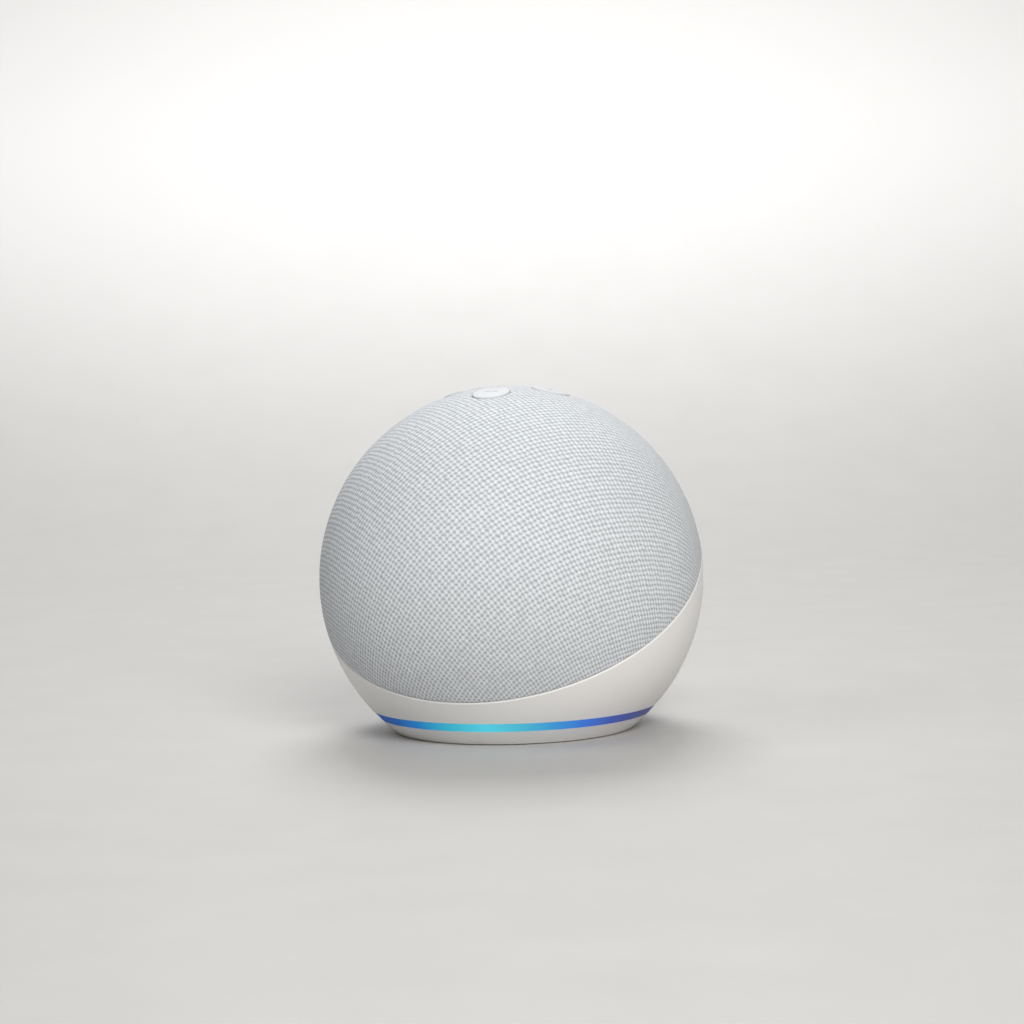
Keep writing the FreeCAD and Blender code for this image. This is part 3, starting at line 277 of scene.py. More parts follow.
@dataclass(frozen=True)
class Ball:
    """The ball that the speaker is cut from, and its slanting seam."""

    radius: float
    height: float
    seam_lean: float = math.radians(31.85)
    seam_drop: float = 0.93 * MM

    @property
    def seam_normal(self) -> np.ndarray:
        """Unit normal of the seam's plane, up and to the front."""
        return np.array([0.0, -math.sin(self.seam_lean), math.cos(self.seam_lean)])

    @property
    def centre(self) -> np.ndarray:
        """The ball's centre."""
        return np.array([0.0, 0.0, self.height])

    def seam_polar(self, azimuth: np.ndarray) -> np.ndarray:
        """Angle from the vertical axis down to the seam.

        A point at polar angle q and azimuth a lies on the seam's plane where A cos q + B sin q is
        -drop / radius, with A the normal's height and B its part along the azimuth. So q is atan2(B, A) plus
        the angle whose cosine is -drop / radius / |A, B|.

        Args:
            azimuth: angles about +Z, from +X.
        Returns:
            The polar angles.
        """
        normal = self.seam_normal
        along = normal[1] * np.sin(azimuth)
        reach = np.hypot(normal[2], along)
        return np.arctan2(along, normal[2]) + np.arccos(-self.seam_drop / self.radius / reach)

    def knit_place(self, points: np.ndarray) -> np.ndarray:
        """Where points lie on the flat knit: the arc from the seam's pole, kept in its own direction.

        Args:
            points: (n, 3) places on the cover.
        Returns:
            (n, 2) flat coordinates in metres; the first runs to +X, the second up.
        """
        away = points - self.centre
        away /= np.linalg.norm(away, axis=1)[:, None]
        normal = self.seam_normal
        uphill = np.array([0.0, math.cos(self.seam_lean), math.sin(self.seam_lean)])
        arc = self.radius * np.arccos(np.clip(away @ normal, -1.0, 1.0))
        across = np.stack([away[:, 0], away @ uphill], axis=1)
        size = np.maximum(np.linalg.norm(across, axis=1), TINY)
        return across / size[:, None] * arc[:, None]


def weld(points: np.ndarray, quads: np.ndarray) -> tuple[np.ndarray, np.ndarray]:
    """Join grid points that share a place.

    Args:
        points: (n, 3) places.
        quads: (m, 4) corners by number.
    Returns:
        The distinct places, and the faces on them.
    """
    cells = np.round(points / WELD).astype(np.int64)
    _, first, number = np.unique(cells, axis=0, return_index=True, return_inverse=True)
    return points[first], number.reshape(-1)[quads]


def grid_quads(rows: int, columns: int, start: int, closed: bool) -> np.ndarray:
    """Corners of a grid's faces, for points numbered row by row.

    Args:
        rows: number of rows.
        columns: number of columns.
        start: number of the first point.
        closed: whether the last column joins the first.
    Returns:
        (faces, 4) point numbers.
    """
    width = columns if closed else columns - 1
    row, column = np.meshgrid(np.arange(rows - 1), np.arange(width), indexing="ij")
    following = (column + 1) % columns
    corners = [row * columns + column, row * columns + following,
               (row + 1) * columns + following, (row + 1) * columns + column]
    return start + np.stack([c.reshape(-1) for c in corners], axis=1)


def make_mesh(name: str, points: np.ndarray, quads: np.ndarray) -> bpy.types.Object:
    """Smooth mesh object at the origin, from points and four-cornered faces.

    Args:
        name: the object's name.
        points: (n, 3) places in metres.
        quads: (m, 4) corners by number.
    Returns:
        The new object.
    """
    mesh = bpy.data.meshes.new(name)
    mesh.vertices.add(len(points))
    mesh.vertices.foreach_set("co", points.astype(np.float32).reshape(-1))
    mesh.loops.add(quads.size)
    mesh.loops.foreach_set("vertex_index", quads.astype(np.int32).reshape(-1))
    mesh.polygons.add(len(quads))
    mesh.polygons.foreach_set("loop_start", np.arange(0, quads.size, 4, dtype=np.int32))
    mesh.update(calc_edges=True)
    mesh.validate()
    mesh.polygons.foreach_set("use_smooth", np.ones(len(mesh.polygons), dtype=bool))
    thing = bpy.data.objects.new(name, mesh)
    bpy.context.scene.collection.objects.link(thing)
    return thing


# ---------------------------------------------------------------- finishes


class Grain(Enum):
    """How a moulded surface was left by its tool: (bumps per metre, depth in metres)."""

    SATIN = (5200.0, 0.000012)
    SPARK = (3200.0, 0.00003)
    SMOOTH = (900.0, 0.000004)


@dataclass(frozen=True)
class Knit:
    """Open knit: small holes in a brick pattern between rounded stitches of pale yarn."""

    column: float = 1.96 * MM
    course: float = 1.74 * MM
    disorder: float = 0.5
    across_grain: float = 530.0
    up_grain: float = 470.0
    wear: float = 640.0
    # yarn is the crowns' colour and valley_shade is painted shade: each stitch is painted lighter on its
    # crown, as a painted highlight, and darker down between stitches
    yarn: Colour = (0.72, 0.747, 0.775)
    valley_shade: Colour = (0.455, 0.473, 0.494)
    # hole is painted shade: a dark colour standing in for the dim inside seen through each opening
    hole: Colour = (0.37, 0.386, 0.402)
    depth: float = 0.08 * MM
    span: float = 0.2

    def stitches(self, graph: Graph, flat: Wire, size: float, grain: float) -> Wire:
        """One flat coordinate counted in stitches, with each stitch a little out of place.

        Args:
            graph: the material's tree.
            flat: the coordinate, from 0 to 1 over the whole span.
            size: the stitch's size along it.
            grain: how fine the disorder is, per metre.
        Returns:
            The coordinate in stitches.
        """
        return (flat - 0.5) * (self.span / size) + (graph.noise(grain, 1.0) - 0.5) * self.disorder

    def material(self) -> bpy.types.Material:
        """Pattern on the cover's own flat map.

        With U and V the flat places in stitches, cos(2 pi U) cos(2 pi V) is 1 at the middle of each hole and
        -1 at the crown of each stitch. A wave twice as fine across narrows the crowns, and slanted waves are
        the yarn's filaments.

        Returns:
            The material.
        """
        graph = Graph("knit_fabric")
        across, up, _ = graph.split(graph.node("ShaderNodeUVMap", {"uv_map": "knit"}))
        across = self.stitches(graph, across, self.column, self.across_grain)
        up = self.stitches(graph, up, self.course, self.up_grain)
        pattern = (across * TURN).cos() * (up * TURN).cos()
        relief = pattern * 0.5 + 0.5
        # opening is the mask of the painted shade in the holes
        opening = pattern.smooth(0.0, 1.0)
        rise, fall = across * 5.0 + up * 3.0, across * 5.0 - up * 3.0
        filaments = (rise * TURN).sin() * (fall * TURN).sin()
        worn = graph.noise(self.wear, 2.0)
        wale = (across * 2.0 * TURN).cos()
        # Painted highlight and painted shade: the tone runs from the yarn colour on each crown to the darker
        # valley colour towards the holes
        tone = graph.mix(relief * 0.9 - wale * 0.16 + (worn - 0.5) * 0.8, self.yarn, self.valley_shade)
        # The holes get the dark hole colour: painted shade in the openings
        graph.set("Base Color", graph.mix(opening, tone, self.hole))
        graph.bump(1.0 - relief ** 1.4 + filaments * 0.06 + worn * 0.1, self.depth)
        graph.set("Roughness", 0.9)
        graph.set("Specular IOR Level", 0.2)
        return graph.material


@dataclass(frozen=True)
class Plastic:
    """Moulded plastic with a fine tool grain and faint handling marks."""

    name: str
    colour: Colour
    roughness: float = 0.5
    grain: Grain = Grain.SATIN
    coat: float = 0.0
    bloom: float = 0.06
    shine: float = 0.5

    def material(self) -> bpy.types.Material:
        """Grain as bump, and slow changes of tone and roughness.

        Returns:
            The material.
        """
        graph = Graph(self.name)
        scale, depth = self.grain.value
        fine = graph.noise(scale, 3.0)
        slow = graph.noise(55.0, 3.0)
        worn = darker(self.colour, 1.0 - self.bloom)
        graph.set("Base Color", graph.mix(slow * 0.7 + fine * 0.3, self.colour, worn))
        graph.set("Roughness", self.roughness + (slow - 0.5) * 0.10 + (fine - 0.5) * 0.06)
        graph.set("Coat Weight", self.coat)
        graph.set("Coat Roughness", 0.25)
        graph.set("Specular IOR Level", self.shine)
        graph.bump(fine, depth)
        return graph.material


@dataclass(frozen=True)
class Glow:
    """Translucent ring whose hidden lamps fade from violet through blue to a bright cyan at the front."""

    strength: float = 0.8
    unlit: Colour = (0.02, 0.03, 0.05)
    stops: tuple[tuple[float, Colour], ...] = (
        (-180.0, linear(14, 40, 110)),
        (-60.0, linear(2, 46, 112)),
        (-38.0, linear(0, 78, 150)),
        (-24.0, linear(8, 118, 190)),
        (-10.0, linear(46, 175, 203)),
        (7.0, linear(82, 212, 232)),
        (22.0, linear(70, 186, 214)),
        (34.0, linear(55, 152, 215)),
        (47.0, linear(52, 114, 212)),
        (62.0, linear(60, 78, 162)),
        (82.0, linear(60, 66, 112)),
        (180.0, linear(14, 40, 110)),
    )

    def material(self) -> bpy.types.Material:
        """Colour by the angle round the foot, counted from the front towards +X.

        Returns:
            The material.
        """
        graph = Graph("ring_plastic")
        x, y, _ = graph.split(graph.place())
        angle = x.math("ARCTAN2", x, y * -1.0) / TURN + 0.5
        stops = [((degrees + 180.0) / 360.0, colour) for degrees, colour in self.stops]
        light = graph.node("ShaderNodeValToRGB", {"stops": stops}, {0: angle})
        graph.set("Base Color", graph.mix(0.8 + graph.noise(700.0) * 0.1, light, self.unlit))
        graph.set("Emission Color", light)
        graph.set("Emission Strength", self.strength)
        graph.set("Roughness", 0.45)
        graph.set("Specular IOR Level", 0.15)
        graph.bump(graph.noise(2400.0), 0.000006)
        return graph.material


@dataclass(frozen=True)
class Metal:
    """Plated, drawn or turned metal with fine lines along one axis."""

    name: str
    colour: Colour
    roughness: float = 0.34
    lines: tuple[float, float, float] = (200.0, 200.0, 6000.0)
    tarnish: float = 0.18

    def material(self) -> bpy.types.Material:
        """Stretched noise as brushed lines, and slow tarnish.

        Returns:
            The material.
        """
        graph = Graph(self.name)
        inputs = {"Vector": graph.place(), "Scale": self.lines}
        stretched = graph.node("ShaderNodeMapping", None, inputs)
        brushed = graph.noise(1.0, 3.0, stretched)
        dull = graph.noise(180.0, 3.0)
        graph.set("Base Color", graph.mix(dull, self.colour, darker(self.colour, 1.0 - self.tarnish)))
        graph.set("Metallic", 1.0)
        graph.set("Roughness", self.roughness + (brushed - 0.5) * 0.16 + (dull - 0.5) * 0.1)
        graph.bump(brushed, 0.000008)
        return graph.material


@dataclass(frozen=True)
class Soft:
    """Rubber, foam or gel: dull, with open or closed pores."""

    name: str
    colour: Colour
    pores: float = 2600.0
    depth: float = 0.00003
    roughness: float = 0.8

    def material(self) -> bpy.types.Material:
        """Cells as small pits, darkened with painted shade.

        Returns:
            The material.
        """
        graph = Graph(self.name)
        cells = graph.node("ShaderNodeTexVoronoi", None, {"Vector": graph.place(), "Scale": self.pores})
        dust = graph.noise(140.0, 3.0)
        shaded_pit = cells.smooth(0.05, 0.45)
        pale = tuple(min(1.0, part * 1.25 + 0.01) for part in self.colour)
        dusted = graph.mix(dust, self.colour, pale)
        # The pits are painted darker: painted shade in the pores
        graph.set("Base Color", graph.mix(shaded_pit, darker(self.colour, 0.6), dusted))
        graph.set("Roughness", self.roughness + (dust - 0.5) * 0.12)
        graph.bump(shaded_pit, self.depth)
        return graph.material


@dataclass(frozen=True)
class CircuitBoard:
    """Green lacquered board with copper tracks and tinned pads under the lacquer."""

    lacquer: Colour = (0.012, 0.075, 0.04)
    track: Colour = (0.03, 0.16, 0.07)
    pad: Colour = (0.62, 0.62, 0.6)
    slant: float = 0.71
    pad_pitch: float = 1.9 * MM

    def material(self) -> bpy.types.Material:
        """Square cells give the tracks' edges, and a sparse grid of dots gives the pads.

        Returns:
            The material.
        """
        graph = Graph("circuit_board")
        x, y, z = graph.split(graph.place())
        slanted = y * self.slant
        plane = graph.node("ShaderNodeCombineXYZ", None, {0: x + slanted, 1: z + slanted, 2: 0.0})
        settings = {"distance": "MANHATTAN", "feature": "F2"}
        cells = graph.node("ShaderNodeTexVoronoi", settings, {"Vector": plane, "Scale": 420.0})
        lines = (cells * 26.0).sin().smooth(-0.1, 0.25)
        step = TURN / self.pad_pitch
        dots = ((x + y) * step).cos() * ((z + y) * step).cos()
        pads = dots.smooth(0.86, 0.93) * graph.noise(160.0).smooth(0.52, 0.56)
        colour = graph.mix(lines, self.lacquer, self.track)
        graph.set("Base Color", graph.mix(pads, colour, self.pad))
        graph.set("Metallic", pads * 0.9)
        graph.set("Roughness", 0.3 + graph.noise(300.0) * 0.12)
        graph.set("Coat Weight", 0.3)
        graph.bump(lines * 0.5 + pads, 0.00003)
        return graph.material


@dataclass(frozen=True)
class Winding:
    """Turns of enamelled wire round the coil."""

    colour: Colour = (0.72, 0.33, 0.12)
    pitch: float = 0.18 * MM

    def material(self) -> bpy.types.Material:
        """One rounded ridge for each turn, along the coil's axis, with painted shade in the grooves between
        turns.

        Returns:
            The material.
        """
        graph = Graph("copper_wire")
        _, y, _ = graph.split(graph.place())
        ridge = (y * (TURN / self.pitch)).sin() * 0.5 + 0.5
        # Painted shade: the colour darkens into the grooves between the turns
        graph.set("Base Color", graph.mix(ridge, darker(self.colour, 0.35), self.colour))
        graph.set("Metallic", 0.9)
        graph.set("Roughness", 0.3 + graph.noise(900.0) * 0.1)
        graph.bump(ridge, 0.00006)
        return graph.material


@dataclass(frozen=True)
class PressedRings:
    """Pressed round part of the driver: rings about its axis over a fibrous sheet."""

    name: str
    colour: Colour
    axis_height: float
    pitch: float
    depth: float
    fibre: float = 900.0

    def material(self) -> bpy.types.Material:
        """Rings by the distance from the driver's axis, over fine fibres; the colour is partly the fibres'
        own tone at random and partly painted shade in the rings' grooves.

        Returns:
            The material.
        """
        graph = Graph(self.name)
        x, _, z = graph.split(graph.place())
        up = z - self.axis_height
        reach = (x * x + up * up) ** 0.5
        ring = (reach * (TURN / self.pitch)).cos() * 0.5 + 0.5
        fibres = graph.noise(self.fibre, 4.0)
        # Partly the fibres' own random tone and partly painted shade that darkens the rings' grooves
        share = fibres * 0.7 + ring * 0.3
        graph.set("Base Color", graph.mix(share, darker(self.colour, 0.55), self.colour))
        graph.set("Roughness", 0.72 + fibres * 0.15)
        graph.bump(ring * 0.7 + fibres * 0.3, self.depth)
        return graph.material


@dataclass(frozen=True)
class RibbonFilm:
    """Amber film with parallel copper conductors under it."""

    film: Colour = (0.42, 0.18, 0.03)
    conductor: Colour = (0.72, 0.42, 0.16)
    pitch: float = 0.8 * MM

    def material(self) -> bpy.types.Material:
        """Conductors as stripes side by side along X.

        Returns:
            The material.
        """
        graph = Graph("ribbon_film")
        x, _, _ = graph.split(graph.place())
        stripe = (x * (TURN / self.pitch)).cos().smooth(-0.1, 0.2)
        graph.set("Base Color", graph.mix(stripe, self.film, self.conductor))
        graph.set("Roughness", 0.28 + graph.noise(400.0) * 0.12)
        graph.set("Coat Weight", 0.5)
        graph.bump(stripe, 0.00002)
        return graph.material


@dataclass(frozen=True)
class Lens:
    """Small lamp: a clear lens over a pale phosphor that shines faintly."""

    colour: Colour = (0.9, 0.88, 0.7)
    pale: Colour = (0.95, 0.95, 0.92)
    light: Colour = (0.3, 0.75, 1.0)

    def material(self) -> bpy.types.Material:
        """Phosphor spot by fine cells.

        Returns:
            The material.
        """
        graph = Graph("lamp")
        cells = graph.noise(1500.0, 2.0)
        graph.set("Base Color", graph.mix(cells, self.colour, self.pale))
        graph.set("Roughness", 0.12 + cells * 0.1)
        graph.set("Coat Weight", 0.6)
        graph.set("Emission Color", self.light)
        graph.set("Emission Strength", 0.4)
        graph.bump(cells, 0.00001)
        return graph.material


# ---------------------------------------------------------------- sub-assemblies


def dress(node: str, material: bpy.types.Material) -> None:
    """Give every slot of a CAD node one material, and report the piece.

    Args:
        node: the node's name.
        material: its finish.
    """
    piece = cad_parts[node]
    for slot in piece.material_slots:
        slot.material = material
    if not piece.material_slots:
        piece.data.materials.append(material)
    LOG.info("%s: %s", node, material.name)


@dataclass(frozen=True)
class KnitCover:
    """Knitted cover: a dome down to the seam, with four rolled button openings on top.

    Sizes:
        top_reach: radius of the patch round the four openings, seen from above.
        opening: radius of each opening.
        circle: distance of the openings from the ball's axis.
        roll: radius of the edge that turns in at the seam.
        hem: radius of the edges that turn in at the openings.
        tuck: depth of the cloth behind each edge.
        thickness: of the cloth.
        spokes: faces round each opening.
        top_rows: rows from an opening out to the patch's border.
        crowding: how much those rows crowd towards the opening.
        side_rows: rows from the top patch down to the seam.
        hem_rows: rows round the turned-in edge of an opening.
        roll_rows: rows round the turned-in edge at the seam.
    """

    ball: Ball
    top_reach: float = 21.0 * MM
    opening: float = 5.0 * MM
    circle: float = 12.0 * MM
    roll: float = 0.25 * MM
    hem: float = 0.15 * MM
    tuck: float = 0.5 * MM
    thickness: float = 0.45 * MM
    spokes: int = 96
    top_rows: int = 18
    crowding: float = 1.3
    side_rows: int = 90
    hem_rows: int = 6
    roll_rows: int = 6

    def lift(self, plan: np.ndarray) -> np.ndarray:
        """Places on top of the ball over places seen from above.

        Args:
            plan: (..., 2) x and y.
        Returns:
            (..., 3) places on the ball.
        """
        z = np.sqrt(self.ball.radius ** 2 - (plan ** 2).sum(axis=-1)) + self.ball.height
        return np.concatenate([plan, z[..., None]], axis=-1)

    def wedge_reach(self, angle: np.ndarray) -> np.ndarray:
        """Distance from an opening's middle to the edge of its quarter of the top patch.

        The quarter lies between the lines y = x and y = -x and inside a circle. From (circle, 0) along (c, s)
        the lines are met at circle / (+-s - c), and the circle where the distance solves a quadratic.

        Args:
            angle: directions from the opening's middle.
        Returns:
            The nearest distance of the three.
        """
        c, s = np.cos(angle), np.sin(angle)
        half = self.circle * c
        reach = -half + np.sqrt(half ** 2 + self.top_reach ** 2 - self.circle ** 2)
        for side in (s - c, -s - c):
            line = np.where(side > TINY, self.circle / np.maximum(side, TINY), np.inf)
            reach = np.minimum(reach, line)
        return reach

    def spoke_angles(self) -> np.ndarray:
        """Directions round an opening: even steps, with the quarter's three corners among them."""
        diagonal = self.top_reach * math.sqrt(0.5)
        corner = math.atan2(diagonal, diagonal - self.circle)
        part = self.spokes // QUARTERS
        outer = np.linspace(-corner, corner, 2 * part, endpoint=False)
        upper = np.linspace(corner, math.pi, part, endpoint=False)
        lower = np.linspace(math.pi, TURN - corner, part, endpoint=False)
        return np.concatenate([outer, upper, lower])

    def top_patch(self, quarter: int) -> np.ndarray:
        """Grid of one quarter of the top, from its opening's turned-in edge out to its border.

        Args:
            quarter: which quarter, counted from +X.
        Returns:
            (rows, spokes, 3) places.
        """
        angle = self.spoke_angles()
        way = np.stack([np.cos(angle), np.sin(angle)], axis=-1)
        middle = np.array([self.circle, 0.0])
        step = np.linspace(0.0, 1.0, self.top_rows) ** self.crowding
        start = self.opening + self.hem
        reach = start + step[:, None] * (self.wedge_reach(angle) - start)[None]
        flat = self.lift(middle + reach[..., None] * way[None])
        bend = np.linspace(math.pi / 2, 0.0, self.hem_rows, endpoint=False)
        edge = start - self.hem * np.sin(bend)
        rolled = self.lift(middle + edge[:, None, None] * way[None])
        rolled[..., 2] -= self.hem * (1.0 - np.cos(bend))[:, None]
        deep = rolled[:1] - np.array([0.0, 0.0, self.tuck])
        grid = np.concatenate([deep, rolled, flat])
        turn = quarter * TURN / QUARTERS
        c, s = math.cos(turn), math.sin(turn)
        spin = np.array([[c, s, 0.0], [-s, c, 0.0], [0.0, 0.0, 1.0]])
        return grid @ spin

    def border_azimuths(self) -> np.ndarray:
        """Azimuths of the top patch's outer border points, in order round the ball."""
        outer = 2 * (self.spokes // QUARTERS)
        angle = self.spoke_angles()[:outer]
        x = self.circle + self.wedge_reach(angle) * np.cos(angle)
        y = self.wedge_reach(angle) * np.sin(angle)
        quarter = np.arctan2(y, x)
        return np.concatenate([quarter + k * TURN / QUARTERS for k in range(QUARTERS)])

    def side_grid(self) -> np.ndarray:
        """Grid from the top patch's border down to the seam, where the cloth rolls in behind the rim.

        Returns:
            (rows, columns, 3) places.
        """
        azimuth = self.border_azimuths()
        start = math.asin(self.top_reach / self.ball.radius)
        bend = np.linspace(0.0, math.pi / 2, self.roll_rows + 1)[1:]
        roll_angle = self.roll / self.ball.radius
        end = self.ball.seam_polar(azimuth) - roll_angle
        step = np.linspace(0.0, 1.0, self.side_rows)[:, None]
        polar = start + step * (end - start)[None]
        polar = np.concatenate([polar, end[None] + roll_angle * np.sin(bend)[:, None]])
        drop = np.concatenate([np.zeros(self.side_rows), self.roll * (1.0 - np.cos(bend))])
        polar = np.concatenate([polar, polar[-1:]])
        drop = np.concatenate([drop, drop[-1:] + self.tuck])
        radius = (self.ball.radius - drop)[:, None]
        spread = [np.sin(polar) * np.cos(azimuth), np.sin(polar) * np.sin(azimuth), np.cos(polar)]
        return np.stack([radius * part for part in spread], axis=-1) + self.ball.centre

    def build(self, material: bpy.types.Material) -> bpy.types.Object:
        """Args:
            material: the knit.
        Returns:
            The cover.
        """
        points, quads, start = [], [], 0
        for grid in [self.top_patch(quarter) for quarter in range(QUARTERS)] + [self.side_grid()]:
            rows, columns, _ = grid.shape
            points.append(grid.reshape(-1, 3))
            quads.append(grid_quads(rows, columns, start, closed=True))
            start += rows * columns
        places, faces = weld(np.concatenate(points), np.concatenate(quads)[:, ::-1])
        cover = make_mesh("knit_cover", places, faces)
        cover.data.materials.append(material)
        self.map_knit(cover)
        solid = cover.modifiers.new("thickness", "SOLIDIFY")
        solid.thickness = self.thickness
        solid.offset = -1.0
        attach(cover, "speaker")
        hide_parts("fabric_cover")
        LOG.info("%s: %d faces", cover.name, len(cover.data.polygons))
        return cover

    def map_knit(self, cover: bpy.types.Object) -> None:
        """Write the flat knit coordinates as the cover's own UV map.

        Args:
            cover: the finished mesh.
        """
        mesh = cover.data
        points = np.empty(len(mesh.vertices) * 3)
        mesh.vertices.foreach_get("co", points)
        flat = self.ball.knit_place(points.reshape(-1, 3)) / Knit.span + 0.5
        corner = np.empty(len(mesh.loops), dtype=np.int32)
        mesh.loops.foreach_get("vertex_index", corner)
        layer = mesh.uv_layers.new(name="knit")
        layer.data.foreach_set("uv", flat[corner].astype(np.float32).reshape(-1))


@dataclass(frozen=True)
class Casing:
    """Plastic housing, base, foot, buttons and the hidden shells."""

    shell: Plastic = Plastic("shell_plastic", (0.86, 0.846, 0.828), 0.46, Grain.SATIN, 0.0, 0.03)
    button: Plastic = Plastic("button_plastic", (0.56, 0.578, 0.596), 0.5, Grain.SMOOTH, 0.0, 0.03, 0.22)
    hidden: Plastic = Plastic("frame_plastic", (0.028, 0.028, 0.031), 0.55, Grain.SPARK)
    pad: Soft = Soft("silicone", (0.34, 0.335, 0.33), 5200.0, 0.000012, 0.62)
    buttons: tuple[str, ...] = ("volume_down", "action", "volume_up", "microphone")

    def dress(self) -> None:
        """Give each piece of the casing its finish."""
        shell, button, hidden = self.shell.material(), self.button.material(), self.hidden.material()
        for node in ("lower_housing", "base_cover"):
            dress(node, shell)
        for name in self.buttons:
            dress(name + "_button", button)
        for node in ("grille_shell", "acoustic_box_front", "acoustic_box_rear", "button_carrier"):
            dress(node, hidden)
        dress("foot_pad", self.pad.material())


@dataclass(frozen=True)
class Lighting:
    """Light ring with its lamps and reflector."""

    glow: Glow = Glow()
    lens: Lens = Lens()
    film: Plastic = Plastic("white_film", (0.88, 0.88, 0.87), 0.35, Grain.SMOOTH, 0.2)

    def dress(self) -> None:
        """Give the ring, the lamps and the reflector their finishes."""
        lens = self.lens.material()
        dress("light_ring", self.glow.material())
        dress("light_leds", lens)
        dress("mute_led", lens)
        dress("light_reflector", self.film.material())


@dataclass(frozen=True)
class Loudspeaker:
    """The driver, from its basket to its coil."""

    axis_height: float
    steel: Metal = Metal("steel", (0.62, 0.62, 0.64), 0.32)
    black: Metal = Metal("black_steel", (0.03, 0.03, 0.033), 0.45)
    foil: Metal = Metal("former_foil", (0.78, 0.66, 0.45), 0.3, (900.0, 30.0, 900.0))
    ferrite: Soft = Soft("ferrite", (0.055, 0.055, 0.06), 3800.0, 0.00002, 0.6)
    foam: Soft = Soft("foam", (0.025, 0.025, 0.025), 3000.0, 0.00005, 0.92)
    rubber: Soft = Soft("surround_rubber", (0.02, 0.02, 0.02), 6000.0, 0.00001, 0.5)
    jacket: Soft = Soft("wire_jacket", (0.42, 0.02, 0.015), 7000.0, 0.000006, 0.45)

    def dress(self) -> None:
        """Give each piece of the driver its finish."""
        steel, foam = self.steel.material(), self.foam.material()
        paper, cloth = (0.05, 0.05, 0.055), (0.62, 0.44, 0.16)
        cone = PressedRings("cone_paper", paper, self.axis_height, 2.6 * MM, 0.08 * MM).material()
        spider = PressedRings("spider_cloth", cloth, self.axis_height, 1.5 * MM, 0.3 * MM).material()
        for node in ("driver_top_plate", "driver_yoke", "driver_screws", "base_screws", "frame_screws",
                     "box_screws", "board_screws", "button_board_screws"):
            dress(node, steel)
        for node in ("driver_gasket", "box_gasket", "lead_grommet", "microphone_seals"):
            dress(node, foam)
        for node in ("driver_cone", "dust_cap"):
            dress(node, cone)
        dress("driver_spider", spider)
        dress("driver_basket", self.black.material())
        dress("driver_magnet", self.ferrite.material())
        dress("driver_surround", self.rubber.material())
        dress("voice_coil_former", self.foil.material())
        dress("voice_coil", Winding().material())
        dress("speaker_leads", self.jacket.material())


@dataclass(frozen=True)
class Electronics:
    """Boards, shields, sockets, switches and flat cables."""

    shield: Metal = Metal("tin_shield", (0.72, 0.72, 0.72), 0.4, (300.0, 300.0, 300.0))
    sink: Metal = Metal("heat_sink_metal", (0.78, 0.79, 0.8), 0.36, (4000.0, 200.0, 200.0))
    contact: Metal = Metal("contact_metal", (0.86, 0.84, 0.8), 0.18, (500.0, 500.0, 500.0), 0.08)
    gel: Soft = Soft("thermal_gel", (0.3, 0.42, 0.6), 4000.0, 0.00001, 0.55)
    chip: Plastic = Plastic("chip_black", (0.018, 0.018, 0.02), 0.5, Grain.SPARK)
    socket: Plastic = Plastic("jack_black", (0.012, 0.012, 0.013), 0.4, Grain.SATIN)
    switch: Plastic = Plastic("switch_body", (0.03, 0.03, 0.032), 0.35, Grain.SMOOTH)

    def dress(self) -> None:
        """Give each electronic piece its finish."""
        board, ribbon = CircuitBoard().material(), RibbonFilm().material()
        shield, contact = self.shield.material(), self.contact.material()
        socket, switch = self.socket.material(), self.switch.material()
        for node in ("main_board", "button_board", "led_board"):
            dress(node, board)
        for node in ("processor_shield", "radio_shield", "microphones"):
            dress(node, shield)
        for node in ("antenna_left", "antenna_right", "dc_jack_pin", "driver_terminals"):
            dress(node, contact)
        for node in ("dc_jack", "ribbon_connectors"):
            dress(node, socket)
        for node in ("led_ribbon", "button_ribbon"):
            dress(node, ribbon)
        for name in Casing.buttons:
            dress(name + "_plunger", switch)
        dress("tact_switches", switch)
        dress("board_components", self.chip.material())
        dress("heat_sink", self.sink.material())
        dress("thermal_pad", self.gel.material())


# ---------------------------------------------------------------- studio


@dataclass(frozen=True)
class Lamp:
    """Square soft light that hangs round a point.

    Sizes:
        side: angle from the camera's side of the point, towards the right.
        lift: angle above the table.
        reach: distance from the point.
        size: the light's side.
        power: in watts.
    """

    name: str
    side: float
    lift: float
    reach: float
    size: float
    power: float
    colour: Colour = (1.0, 1.0, 1.0)

    def hang(self, front: float, aim: Vector) -> None:
        """Add the light.

        Args:
            front: the camera's azimuth from -Y towards +X.
            aim: the point that it shines on.
        """
        turn, lift = front + math.radians(self.side), math.radians(self.lift)
        flat = math.cos(lift)
        way = Vector((math.sin(turn) * flat, -math.cos(turn) * flat, math.sin(lift)))
        data = bpy.data.lights.new(self.name, "AREA")
        data.shape, data.size, data.energy, data.color = "SQUARE", self.size, self.power, self.colour
        light = bpy.data.objects.new(self.name, data)
        light.location = aim + way * self.reach
        light.rotation_euler = (-way).to_track_quat("-Z", "Y").to_euler()
        bpy.context.scene.collection.objects.link(light)


